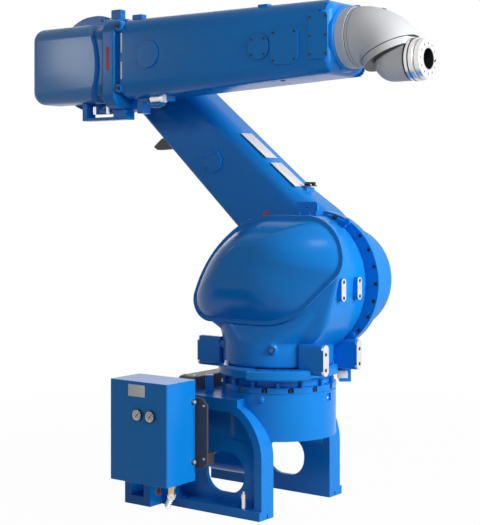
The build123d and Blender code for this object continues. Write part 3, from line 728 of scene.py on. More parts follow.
@dataclass(frozen=True)
class Screw:
    """A socket-head or hexagon-head screw, modelled once and copied to each place."""

    head_radius: float = 0.008
    head_height: float = 0.007
    hexagon: bool = False
    washer: float = 0.0
    sides: int = 20

    def model(self) -> bpy.types.Object:
        """Model the screw head, standing on the origin along +Z."""
        sides = 6 if self.hexagon else self.sides
        head = add_disc(self.head_radius, self.head_height, (0, 0, 0), (0, 0, 1), sides)
        top = self.head_height
        with editing(head):
            pick_faces(head, lambda place, normal: normal.z > 0.9)
            if self.hexagon:
                bpy.ops.mesh.inset(thickness=self.head_radius * 0.16, depth=self.head_height * 0.1)
            else:
                bpy.ops.mesh.inset(thickness=self.head_radius * 0.1, depth=self.head_radius * 0.08)
                bpy.ops.mesh.inset(thickness=self.head_radius * 0.38)
                bpy.ops.mesh.inset(thickness=0.0, depth=-top * 0.6)
            pick_faces(head, lambda place, normal: normal.z < -0.9)
            bpy.ops.mesh.delete(type="ONLY_FACE")
        if self.washer > 0:
            ring = add_disc(self.washer, self.head_height * 0.2, (0, 0, 0), (0, 0, 1), self.sides)
            head = join([head, ring], "screw_model")
        choose(head)
        bpy.ops.object.shade_smooth_by_angle(angle=SHARP_ANGLE)
        return head

    def rows(self, places: list[tuple[Vector, Vector]], name: str) -> bpy.types.Object:
        """Copy the screw to each place and join the copies.

        Args:
            places: Foot and axis of every screw.
            name: Name of the joined piece.

        Returns:
            The joined piece.
        """
        model = self.model()
        copies = []
        for foot, axis in places:
            copy = bpy.data.objects.new(name, model.data.copy())
            bpy.context.scene.collection.objects.link(copy)
            turn = Vector(axis).normalized().to_track_quat("Z", "Y").to_matrix().to_4x4()
            copy.data.transform(Matrix.Translation(Vector(foot)) @ turn)
            copies.append(copy)
        bpy.data.objects.remove(model)
        return join(copies, name)


def ring_places(centre: Vector, axis: Vector, radius: float, angles: list[float],
                outward: bool = False) -> list[tuple[Vector, Vector]]:
    """Places on a circle.

    Args:
        centre: Centre of the circle.
        axis: Axis of the circle, along X, Y or Z.
        radius: Radius of the circle.
        angles: Degrees from the first of the two axes across it.
        outward: True to face away from the axis, False to face along it.

    Returns:
        Foot and facing of each place.
    """
    axis = Vector(axis)
    first = Vector((0, 1, 0)) if abs(axis.x) > 0.5 else Vector((1, 0, 0))
    second = Vector((0, 0, 1)) if abs(axis.z) < 0.5 else Vector((0, 1, 0))
    places = []
    for angle in angles:
        spoke = first * cos(radians(angle)) + second * sin(radians(angle))
        places.append((Vector(centre) + spoke * radius, spoke if outward else axis))
    return places


@dataclass
class Section:
    """Part of the robot that rides on one body, with the small pieces that it carries."""

    shop: Workshop
    kit: dict[tuple[str, Body, str], list[bpy.types.Object]] = field(default_factory=dict)

    def add(self, obj: bpy.types.Object, group: str, body: Body, finish: str) -> bpy.types.Object:
        """Dress a small piece and keep it for the group that it is joined into.

        Args:
            obj: The small piece.
            group: Name of the group.
            body: Body that carries the group.
            finish: Name of the group's finish.

        Returns:
            The dressed piece.
        """
        obj.data.materials.clear()
        obj.data.materials.append(self.shop.finishes[finish])
        self.kit.setdefault((group, body, finish), []).append(obj)
        return obj

    def screws(self, screw: Screw, places: list[tuple[Vector, Vector]], group: str, body: Body,
               finish: str = "dark") -> None:
        """Add the same screw at each place to a group.

        Args:
            screw: The screw.
            places: Foot and axis of every screw.
            group: Name of the group.
            body: Body that carries the group.
            finish: Name of the group's finish.
        """
        self.add(screw.rows(places, group), group, body, finish)

    def join_groups(self) -> None:
        """Join each group into one piece and let it ride."""
        for (group, body, finish), pieces in self.kit.items():
            finish_piece(join(pieces, group), group, body)


@dataclass
class Base(Section):
    """Arched floor casting with its connector box and the ring of screws under the swivel flange."""

    barrel_radius: float = 0.205
    barrel_top: float = 0.44
    pocket_radius: float = 0.0105
    pocket_depth: float = 0.017
    pocket_count: int = 14
    first_angle: float = 8.5
    window_angle: float = 4.5
    window_height: float = 0.397
    window_side: float = 0.027
    notch_width: float = 0.006
    notch_height: float = 0.016
    boss_height: float = 0.4
    boss_angle: float = -72.0
    box_size: tuple[float, float, float] = (0.132, 0.28, 0.193)
    box_centre: tuple[float, float, float] = (-334, 0, 345.5)
    box_chamfer: float = 0.06
    duct_size: tuple[float, float, float] = (0.19, 0.13, 0.16)
    duct_centre: tuple[float, float, float] = (-180, 0, 172)
    duct_round: float = 0.045
    lid_screw_xs: tuple[float, float] = (-330, -280)
    lid_screw_y: float = 128.0
    box_cap_ys: tuple[float, ...] = (-80, 0, 80)

    def build(self) -> None:
        """Dress the casting and add its small parts."""
        self.shop.skin("base_casting", Body.BASE, "enamel", edge=0.003, cutters=self.cutters())
        self.shop.skin("bolt_ring", Body.BASE, "enamel")
        self.shop.skin("fixed_stop", Body.BASE, "enamel")
        self.shop.skin("anchor_pin", Body.BASE, "steel")
        self.build_connector_box()
        self.add_ring_screws()
        self.add_window_mark()
        self.add_barrel_boss()
        self.add_pin_head()
        self.add_box_fittings()
        self.join_groups()

    def angles(self) -> list[float]:
        """Angles of the screws round the barrel."""
        return [self.first_angle + 360 / self.pocket_count * step for step in range(self.pocket_count)]

    def cutters(self) -> list[bpy.types.Object]:
        """Screw pockets in the barrel's rim, the square window and the slots in the wall ends."""
        foot = Vector((0, 0, self.barrel_top - self.pocket_depth))
        made = []
        for place, _ in ring_places(foot, (0, 0, 1), self.barrel_radius - 0.004, self.angles()):
            made.append(add_disc(self.pocket_radius, 2 * self.pocket_depth, place, (0, 0, 1), 20))
        [(window, outward)] = ring_places(Vector((0, 0, self.window_height)), (0, 0, 1),
                                          self.barrel_radius - 0.008, [self.window_angle], outward=True)
        made.append(thin_plate(self.window_side, self.window_side, 0.02, 0.003, window, outward))
        for side in (-1, 1):
            made.append(add_block((0.03, self.notch_width, 2 * self.notch_height), mm(103, side * 212, 0)))
        return made

    def build_connector_box(self) -> None:
        """Model the connector box with its sloped lid, in place of the plain solid, and its duct."""
        box = add_block(self.box_size, mm(*self.box_centre))
        with editing(box):
            pick_edges(box, lambda one, two: min(one.z, two.z) > 0.44 and max(one.x, two.x) < -0.39)
            bpy.ops.mesh.bevel(offset=self.box_chamfer, segments=1)
            bpy.ops.mesh.select_mode(type="FACE")
            pick_faces(box, lambda place, normal: normal.z > 0.3)
            bpy.ops.mesh.inset(thickness=0.006, depth=0.002)
        box.data.materials.append(self.shop.finishes["box"])
        round_edges(box, 0.002)
        finish_piece(box, "connector_box_shell", Body.BASE)
        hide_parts("connector_box")
        duct = add_block(self.duct_size, mm(*self.duct_centre))
        with editing(duct):
            pick_edges(duct, lambda one, two: abs(one.x - two.x) > 0.1)
            bpy.ops.mesh.bevel(offset=self.duct_round, segments=6)
            bpy.ops.mesh.select_mode(type="FACE")
            pick_faces(duct, lambda place, normal: normal.x < -0.9)
            bpy.ops.mesh.inset(thickness=0.02, depth=0.0)
            bpy.ops.mesh.extrude_region_move(TRANSFORM_OT_translate={"value": (-0.01, 0, 0.085)})
        self.add(duct, "connector_duct", Body.BASE, "enamel")

    def add_ring_screws(self) -> None:
        """Add the hexagon screws in the pockets and the hanging screws under the flange."""
        foot = Vector((0, 0, self.barrel_top - self.pocket_depth))
        places = ring_places(foot, (0, 0, 1), self.barrel_radius - 0.006, self.angles())
        self.screws(Screw(0.0068, 0.012, hexagon=True), places, "ring_screws", Body.BASE)
        between = [angle + 180 / self.pocket_count for angle in self.angles()]
        posts = ring_places(Vector((0, 0, self.barrel_top)), (0, 0, 1), self.barrel_radius - 0.011, between)
        self.screws(Screw(0.0078, 0.02), posts, "ring_posts", Body.BASE, "enamel")

    def add_window_mark(self) -> None:
        """Add the light mark inside the square window."""
        [(place, outward)] = ring_places(Vector((0, 0, self.window_height - 0.004)), (0, 0, 1),
                                         self.barrel_radius - 0.008, [self.window_angle], outward=True)
        self.add(thin_plate(0.012, 0.007, 0.0015, 0.001, place, outward), "window_mark", Body.BASE, "blank")

    def add_barrel_boss(self) -> None:
        """Add the cast boss with its screw on the near side of the barrel."""
        [(place, outward)] = ring_places(Vector((0, 0, self.boss_height)), (0, 0, 1),
                                         self.barrel_radius - 0.003, [self.boss_angle], outward=True)
        boss = lathe([(0, 0), (0.014, 0), (0.012, 0.007), (0.009, 0.01), (0, 0.01)], place, outward, 24)
        self.add(boss, "barrel_boss", Body.BASE, "enamel")
        self.screws(Screw(0.0055, 0.005), [(place + outward * 0.01, outward)], "barrel_boss_screw",
                    Body.BASE, "enamel")

    def add_pin_head(self) -> None:
        """Add the turned shoulder and collar on the anchor pin."""
        profile = [(0, 0), (0.0105, 0), (0.0105, 0.004), (0.0085, 0.006), (0.0085, 0.012), (0.0045, 0.016),
                   (0.0045, 0.022), (0, 0.022)]
        self.add(lathe(profile, mm(26, -242, 68), (0, 0, 1), 24), "anchor_pin_head", Body.BASE, "steel")

    def add_box_fittings(self) -> None:
        """Add the lid screws and the blanking caps of the connector box."""
        corners = []
        for x in self.lid_screw_xs:
            for y in (-self.lid_screw_y, self.lid_screw_y):
                corners.append((mm(x, y, 444), Vector((0, 0, 1))))
        self.screws(Screw(0.0055, 0.004), corners, "connector_lid_screws", Body.BASE, "steel")
        profile = [(0, 0), (0.027, 0), (0.027, 0.006), (0.023, 0.009), (0.023, 0.018), (0.019, 0.021),
                   (0, 0.021)]
        for y in self.box_cap_ys:
            cap = lathe(profile, mm(-400, y, 330), (-1, 0, 0), 32)
            self.add(cap, "connector_caps", Body.BASE, "dark")


@dataclass
class AirUnit(Section):
    """Sheet cabinet beside the base, with its gauges, blank plate, door screws and pipe fittings."""

    front_y: float = -497.5
    gauge_xs: tuple[float, float] = (-228.5, -171.5)
    gauge_z: float = 360.0
    tick_count: int = 11
    first_tick: float = -45.0
    dial_span: float = 270.0
    side_x: float = -101.5
    door_screw_zs: tuple[float, float] = (398, 194)
    plate_bolt_zs: tuple[float, float] = (206, 386)

    def build(self) -> None:
        """Dress the cabinet and add its small parts."""
        self.shop.skin("air_cabinet", Body.BASE, "sheet", edge=0.0015)
        self.shop.skin("cabinet_plate", Body.BASE, "plate", edge=0.0012)
        self.shop.skin("gauge_left", Body.BASE, "bezel", edge=0.001)
        self.shop.skin("gauge_right", Body.BASE, "bezel", edge=0.001)
        self.shop.skin("air_fitting", Body.BASE, "brass", edge=0.001)
        for x in self.gauge_xs:
            self.add_dial(x)
        self.add_blank_plate()
        self.add_door_screws()
        self.add_pipe_parts()
        self.join_groups()

    def add_dial(self, x: float) -> None:
        """Add the white dial, the ticks and the needle of one gauge.

        Args:
            x: Place of the gauge along X, in millimetres.
        """
        face_y = self.front_y - 6.0
        disc = [(0, 0), (0.0163, 0), (0.0163, 0.0006), (0, 0.0006)]
        dial = lathe(disc, mm(x, face_y, self.gauge_z), (0, -1, 0), 40)
        self.add(dial, "gauge_dials", Body.BASE, "dial")
        rim = lathe([(0.0163, 0.0), (0.0167, 0.0022), (0.0172, 0.0026), (0.0177, 0.0022)],
                    mm(x, face_y - 0.6, self.gauge_z), (0, -1, 0), 40)
        self.add(rim, "gauge_rims", Body.BASE, "steel")
        for tick in range(self.tick_count):
            angle = radians(self.first_tick + self.dial_span / (self.tick_count - 1) * tick)
            spoke = Vector((cos(angle), 0, sin(angle)))
            place = mm(x, face_y - 0.6, self.gauge_z) + spoke * 0.0135
            mark = thin_plate(0.0009, 0.0032, 0.0003, 0.0001, place, (0, -1, 0), spoke)
            self.add(mark, "gauge_ticks", Body.BASE, "bezel")
        slant = Vector((1, 0, 1)).normalized()
        needle = thin_plate(0.0016, 0.022, 0.0005, 0.0004, mm(x, face_y - 1.0, self.gauge_z) + slant * 0.001,
                            (0, -1, 0), slant)
        self.add(needle, "gauge_needles", Body.BASE, "bezel")
        hub = lathe([(0, 0), (0.0024, 0), (0.002, 0.0012), (0, 0.0014)], mm(x, face_y - 1.0, self.gauge_z),
                    (0, -1, 0), 16)
        self.add(hub, "gauge_needles", Body.BASE, "bezel")

    def add_blank_plate(self) -> None:
        """Add the plain plate on the cabinet's front."""
        plate = thin_plate(0.073, 0.04, 0.0012, 0.002, mm(-235.5, self.front_y, 441), (0, -1, 0))
        self.add(plate, "cabinet_blank_plate", Body.BASE, "blank")

    def add_door_screws(self) -> None:
        """Add the two quarter-turn screws on the cabinet's side and the plate's bolts."""
        for z in self.door_screw_zs:
            washer = lathe([(0, 0), (0.0095, 0), (0.0095, 0.0015), (0.007, 0.003), (0, 0.003)],
                           mm(self.side_x, -360, z), (1, 0, 0), 24)
            self.add(washer, "door_washers", Body.BASE, "dark")
        places = [(mm(self.side_x + 3, -360, z), Vector((1, 0, 0))) for z in self.door_screw_zs]
        self.screws(Screw(0.0062, 0.007), places, "door_screws", Body.BASE, "steel")
        bolts = [(mm(-66, -344.5, z), Vector((0, -1, 0))) for z in self.plate_bolt_zs]
        self.screws(Screw(0.0045, 0.004, hexagon=True), bolts, "plate_bolts", Body.BASE, "steel")

    def add_pipe_parts(self) -> None:
        """Add the pipe elbow, the hose tail and the red cap under the cabinet."""
        foot = mm(-145.5, -421, 84)
        tail = (mm(-166, -421, 42) - foot).normalized()
        elbow = lathe([(0, -0.012), (0.011, -0.012), (0.0135, -0.008), (0.0135, 0.008), (0.011, 0.012),
                       (0, 0.012)], foot, tail, 6)
        self.add(elbow, "hose_nut", Body.BASE, "steel")
        profile = [(0, 0.01), (0.0095, 0.01)]
        for rib in range(4):
            start = 0.014 + rib * 0.008
            profile += [(0.0095, start), (0.0112, start + 0.0015), (0.0082, start + 0.0075)]
        profile += [(0.006, 0.048), (0, 0.048)]
        self.add(lathe(profile, foot, tail, 28), "hose_tail", Body.BASE, "steel")
        pin = [(0, 0), (0.006, 0), (0.006, 0.032), (0, 0.032)]
        stem = lathe(pin, mm(-204, -421, 128), (0, 0, -1), 16)
        self.add(stem, "drain_stem", Body.BASE, "dark")
        cap = lathe([(0, 0), (0.008, 0), (0.0095, 0.003), (0.0095, 0.013), (0.007, 0.016), (0, 0.016)],
                    mm(-204, -421, 96), (0, 0, -1), 24)
        self.add(cap, "drain_cap", Body.BASE, "red")


@dataclass
class Head(Section):
    """Swivel head with its motor cover, fixture pads, stops and shoulder ring."""

    cast_grid: float = 0.0045
    cast_passes: int = 10
    rim_screw_count: int = 22
    rim_screw_inset: float = 0.0095
    cover_steps: int = 20
    cover_corners: int = 112
    cover_inset: float = 0.016
    cover_depth: float = 0.118
    cover_tip: float = 0.2
    cover_fullness: float = 0.86
    # X and Z of the point that the cover's sections close in on
    cover_heart: tuple[float, float] = (0.045, 0.905)
    ring_bolt_angles: tuple[float, ...] = (43.0, 28.4, 13.8, -0.8, -15.4, -30.0, -44.6)
    ring_bolt_circle: float = 0.24
    ring_centre: tuple[float, float, float] = (105, 100, 795)
    block_x: float = 272.0
    block_bore_ys: tuple[float, float] = (-108, 108)
    block_bore_zs: tuple[float, float] = (561, 508)
    pad_x: float = 324.0
    pad_bore_ys: tuple[float, float] = (-76, 26)
    pad_bore_zs: tuple[float, float] = (807, 753)
    # Degrees about the swivel axis between which the lug runs
    lug_span: tuple[float, float] = (-78, -32)
    flange_top: float = 505.0
    flange_bore_places: tuple[tuple[float, float], ...] = ((130, -205), (176, -168), (76, -231))
    nipple_places: tuple[tuple[float, float], ...] = ((-97, -182), (-183, -98))
    neck_radius: float = 0.2095

    def build(self) -> None:
        """Dress the head's pieces and add its small parts."""
        for node in ("head_flange", "side_cover_rim", "shoulder_ring", "shoulder_stop", "tag_plate",
                     "moving_stop"):
            self.shop.skin(node, Body.HEAD, "enamel")
        self.shop.skin("head_casting", Body.HEAD, "enamel", edge=0.0, shape=self.soften)
        self.build_cover()
        for node in ("front_pad_near", "front_pad_far"):
            self.shop.skin(node, Body.HEAD, "enamel", edge=0.001,
                           accents={"steel": lambda place, normal: place.x > 0.3238})
        for end, sign in (("front", 1), ("rear", -1)):
            for side in ("near", "far"):
                self.shop.skin(f"lift_block_{end}_{side}", Body.HEAD, "enamel", edge=0.0012,
                               accents={"steel": lambda place, normal, sign=sign: place.x * sign > 0.265})
        self.add_rim_screws()
        self.add_pad_holes()
        self.add_ring_bolts()
        self.add_top_bolts()
        self.add_flange_lug()
        self.add_marks()
        self.join_groups()

    def soften(self, casting: bpy.types.Object) -> None:
        """Give the head casting the soft fillets of a sand casting.

        Args:
            casting: Copy of the head casting.
        """
        choose(casting)
        even = casting.modifiers.new("even", "REMESH")
        even.mode = "VOXEL"
        even.voxel_size = self.cast_grid
        bpy.ops.object.modifier_apply(modifier=even.name)
        smooth = casting.modifiers.new("soft", "SMOOTH")
        smooth.factor = 0.5
        smooth.iterations = self.cast_passes
        bpy.ops.object.modifier_apply(modifier=smooth.name)
        casting.data.materials.clear()
        casting.data.materials.append(self.shop.finishes["enamel"])

    def rim_line(self, count: int, inset: float) -> list[Vector]:
        """Evenly spaced points along the near face of the cover's rim.

        Args:
            count: Number of points.
            inset: Distance from the rim's outer edge.

        Returns:
            The points, in order round the rim.
        """
        mesh = self.shop.frame["nodes"]["side_cover_rim"].data
        near = min(vert.co.y for vert in mesh.vertices)
        middle = mm(50, 0, 788)
        outer = {}
        for vert in mesh.vertices:
            if vert.co.y < near + 0.0002:
                spoke = Vector((vert.co.x - middle.x, 0, vert.co.z - middle.z))
                turn = round(atan2(spoke.z, spoke.x), 3)
                outer[turn] = max(outer.get(turn, Vector()), spoke, key=lambda part: part.length)
        corners = [middle + outer[turn] for turn in sorted(outer)]
        corners.append(corners[0])
        lengths = [(after - before).length for before, after in zip(corners, corners[1:])]
        points = []
        for step in range(count):
            wanted = sum(lengths) * (step + 0.5) / count
            for before, after, length in zip(corners, corners[1:], lengths):
                if wanted <= length:
                    point = before.lerp(after, wanted / length)
                    side = (after - before).normalized()
                    points.append(Vector((point.x - side.z * inset, near, point.z + side.x * inset)))
                    break
                wanted -= length
        return points

    def build_cover(self) -> None:
        """Model the domed motor cover from the rim's line, in place of the plain solid."""
        line = self.rim_line(self.cover_corners, self.cover_inset)
        clear_selection()
        bpy.ops.mesh.primitive_circle_add(vertices=self.cover_corners, radius=0.2, fill_type="NGON")
        cover = bpy.context.object
        for vert, point in zip(cover.data.vertices, line):
            vert.co = point
        heart = Vector((self.cover_heart[0], line[0].y, self.cover_heart[1]))
        size, depth = 1.0, 0.0
        with editing(cover):
            bpy.ops.mesh.select_all(action="SELECT")
            for step in range(1, self.cover_steps + 1):
                share = step / self.cover_steps
                next_size = 1 - (1 - self.cover_tip) * share ** 1.5
                next_depth = self.cover_depth * sin(pi / 2 * share ** (1.5 * self.cover_fullness))
                bpy.ops.mesh.extrude_region_move(TRANSFORM_OT_translate={"value": (0, depth - next_depth, 0)})
                ratio = next_size / size
                bpy.ops.transform.resize(value=(ratio, 1, ratio), center_override=heart)
                size, depth = next_size, next_depth
            bpy.ops.mesh.poke()
            bpy.ops.mesh.select_all(action="SELECT")
            bpy.ops.mesh.normals_make_consistent(inside=False)
        cover.data.materials.append(self.shop.finishes["sheet"])
        finish_piece(cover, "motor_cover_shell", Body.HEAD)
        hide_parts("side_cover")

    def add_rim_screws(self) -> None:
        """Add the small screws along the cover's rim."""
        line = self.rim_line(self.rim_screw_count, self.rim_screw_inset)
        places = [(point, Vector((0, -1, 0))) for point in line]
        self.screws(Screw(0.003, 0.0018), places, "rim_screws", Body.HEAD, "enamel")

    def add_pad_holes(self) -> None:
        """Add dark discs on the fixture pads, painted as the shade of their threaded bores."""
        places = []
        for y in self.block_bore_ys:
            for z in self.block_bore_zs:
                for sign in (-1, 1):
                    places.append((mm(sign * self.block_x, y, z), Vector((sign, 0, 0))))
        for y in self.pad_bore_ys:
            for z in self.pad_bore_zs:
                places.append((mm(self.pad_x, y, z), Vector((1, 0, 0))))
        profile = [(0, 0), (0.0062, 0), (0.0062, 0.0006), (0.0046, 0.0002), (0, 0.0002)]
        for foot, axis in places:
            self.add(lathe(profile, foot, axis, 20), "pad_bores", Body.HEAD, "dark")

    def add_ring_bolts(self) -> None:
        """Add the bolts round the shoulder ring's near face, where the barrel leaves it open."""
        places = ring_places(mm(*self.ring_centre), (0, -1, 0), self.ring_bolt_circle,
                             list(self.ring_bolt_angles))
        self.screws(Screw(0.0062, 0.0045), places, "ring_bolts", Body.HEAD)
        spot = lathe([(0, 0), (0.011, 0), (0.011, 0.004), (0.008, 0.006), (0, 0.006)], mm(250, 100, 612),
                     (0, -1, 0), 24)
        self.add(spot, "ring_plug", Body.HEAD, "enamel")

    def add_top_bolts(self) -> None:
        """Add the bolt and the cap of the shoulder stop, and the bolts of the tag plate."""
        stop = [(mm(185, 84, 1023), Vector((0, -1, 0)))]
        self.screws(Screw(0.007, 0.006, washer=0.0095), stop, "stop_bolt", Body.HEAD)
        cap = lathe([(0, 0), (0.0125, 0), (0.0125, 0.003), (0.01, 0.0055), (0, 0.0055)], mm(238, 84, 1006),
                    (0, -1, 0), 24)
        self.add(cap, "stop_cap", Body.HEAD, "enamel")
        tag = [(mm(x, 80, 1032), Vector((0, -1, 0))) for x in (37, 80)]
        self.screws(Screw(0.0075, 0.006, hexagon=True, washer=0.0105), tag, "tag_bolts", Body.HEAD, "enamel")

    def add_flange_lug(self) -> None:
        """Add the drilled lug on the near front of the swivel flange, dark discs painted as the shade of the
        flange's bores, and the nipples behind it.
        """
        first, last = self.lug_span
        lug = lathe([(0.19, 0.0), (0.254, 0.0), (0.26, 0.006), (0.26, 0.028), (0.254, 0.034), (0.19, 0.034)],
                    mm(0, 0, 471), (0, 0, 1), 72)
        with editing(lug):
            pick_faces(lug, lambda place, normal: not first < self.angle_of(place) < last)
            bpy.ops.mesh.delete(type="FACE")
            bpy.ops.mesh.select_all(action="SELECT")
            bpy.ops.mesh.select_mode(type="EDGE")
            bpy.ops.mesh.select_all(action="DESELECT")
            bpy.ops.mesh.select_non_manifold()
            bpy.ops.mesh.edge_face_add()
            bpy.ops.mesh.select_all(action="SELECT")
            bpy.ops.mesh.normals_make_consistent(inside=False)
        self.add(lug, "flange_lug", Body.HEAD, "enamel")
        hole = [(0, 0), (0.0075, 0), (0.0075, 0.0005), (0.006, 0.0002), (0, 0.0002)]
        # Dark discs painted as the shade of the flange's bores.
        for x, y in self.flange_bore_places:
            bore = lathe(hole, mm(x, y, self.flange_top), (0, 0, 1), 20)
            self.add(bore, "flange_bores", Body.HEAD, "dark")
        stem = [(0, 0), (0.009, 0), (0.009, 0.006), (0.005, 0.009), (0.005, 0.016), (0, 0.018)]
        for x, y in self.nipple_places:
            nipple = lathe(stem, mm(x, y, self.flange_top), (0, 0, 1), 6)
            self.add(nipple, "flange_nipples", Body.HEAD, "steel")

    @staticmethod
    def angle_of(place: Vector) -> float:
        """Angle of a point about the swivel axis, in degrees."""
        return Vector((1, 0)).angle_signed(Vector((place.x, place.y)), 0.0) * -180 / pi

    def add_marks(self) -> None:
        """Add the pale plate on the moving stop, and dark rings painted as the shade in the bores of the
        neck's bosses.
        """
        side = Vector((cos(radians(-53)), sin(radians(-53)), 0))
        out = Vector((cos(radians(37)), sin(radians(37)), 0))
        centre = out * 0.226 + side * 0.0272 + Vector((0, 0, 0.463))
        self.add(thin_plate(0.038, 0.026, 0.003, 0.003, centre, side), "stop_plate_mark", Body.HEAD, "blank")
        for angle, height in ((214, 62), (299, 67)):
            for sign in (1, -1):
                spoke = Vector((cos(radians(angle)), sin(radians(angle)) * sign, 0))
                foot = spoke * self.neck_radius + Vector((0, 0, 0.505 + height / 1000))
                ring = lathe([(0.006, -0.02), (0.0062, 0.0), (0.0098, 0.0015), (0.0112, 0.001),
                              (0.0112, -0.004)], foot, spoke, 24)
                self.add(ring, "neck_eyes", Body.HEAD, "dark")


@dataclass
class LowerArm(Section):
    """Lower arm with its cap, clip, marks and plain plates."""

    # X and Z of each bolt of the round cap
    cap_bolt_places: tuple[tuple[float, float], ...] = (
        (-391, 1259), (-378, 1216), (-429, 1202), (-438, 1246),
    )
    near_face_y: float = 133.0
    # X, Y and Z near the middle of each plain plate, then its width and height in metres
    plates: tuple[tuple[float, ...], ...] = ((-228, 194, 1287, 0.07, 0.152), (-93, 194, 1176, 0.07, 0.142))
    plate_thickness: float = 0.0014
    clip_x: float = -12.0
    clip_y: float = 222.0
    clip_roll_ys: tuple[float, float] = (206, 238)
    hub_bolt_circle: float = 0.12
    hub_bolt_count: int = 12

    def build(self) -> None:
        """Dress the arm's pieces and add its small parts."""
        self.shop.skin("lower_arm", Body.ARM, "enamel")
        self.shop.skin("arm_cap", Body.ARM, "enamel")
        self.shop.skin("arm_bracket", Body.ARM, "dark")
        self.add_cap_bolts()
        self.add_near_side_marks()
        self.add_front_plates()
        self.add_clip()
        self.add_hub_bolts()
        self.join_groups()

    def add_cap_bolts(self) -> None:
        """Add the four bolts of the round cap."""
        places = [(mm(x, 125, z), Vector((0, -1, 0))) for x, z in self.cap_bolt_places]
        self.screws(Screw(0.0048, 0.004), places, "cap_bolts", Body.ARM, "enamel")

    def add_near_side_marks(self) -> None:
        """Add the red index mark on the near side."""
        mark = thin_plate(0.014, 0.028, 0.001, 0.002, mm(-151, self.near_face_y, 1030), (0, -1, 0),
                          (1, 0, 0.6))
        self.add(mark, "arm_index_mark", Body.ARM, "red")

    def add_front_plates(self) -> None:
        """Add the two plain plates on the arm's front face."""
        along = Vector((-1045, 0, 832)).normalized()
        outward = Vector((832, 0, 1045)).normalized()
        for x, y, z, width, height in self.plates:
            face = self.front_point(mm(x, y, z), outward)
            plate = thin_plate(width, height, self.plate_thickness, 0.003, face, outward, along)
            self.add(plate, "arm_blank_plates", Body.ARM, "blank")

    def front_point(self, place: Vector, outward: Vector) -> Vector:
        """Point of the arm's front face that lies below a place, along the outward direction."""
        return surface_below(self.shop.frame["nodes"]["lower_arm"], place + outward * 0.3, -outward)[0]

    def add_clip(self) -> None:
        """Add the black spring clip on the arm's pad."""
        base = thin_plate(0.034, 0.046, 0.004, 0.004, mm(self.clip_x, self.clip_y, 1132), (0, 0, 1),
                          (0, 1, 0))
        self.add(base, "clip_base", Body.ARM, "dark")
        for y in self.clip_roll_ys:
            roll = lathe([(0, -0.011), (0.0055, -0.011), (0.007, -0.009), (0.007, 0.009), (0.0055, 0.011),
                          (0, 0.011)], mm(self.clip_x, y, 1142), (1, 0, 0), 20)
            self.add(roll, "clip_rolls", Body.ARM, "dark")
        place = [(mm(self.clip_x, self.clip_y, 1136), Vector((0, 0, 1)))]
        self.screws(Screw(0.005, 0.004), place, "clip_screw", Body.ARM, "steel")

    def add_hub_bolts(self) -> None:
        """Add the small dark bolts on the rounded hub."""
        spots = ring_places(mm(105, 320, 795), (0, 1, 0), self.hub_bolt_circle,
                            [360 / self.hub_bolt_count * step for step in range(self.hub_bolt_count)])
        self.screws(Screw(0.006, 0.005), spots, "hub_bolts", Body.ARM)


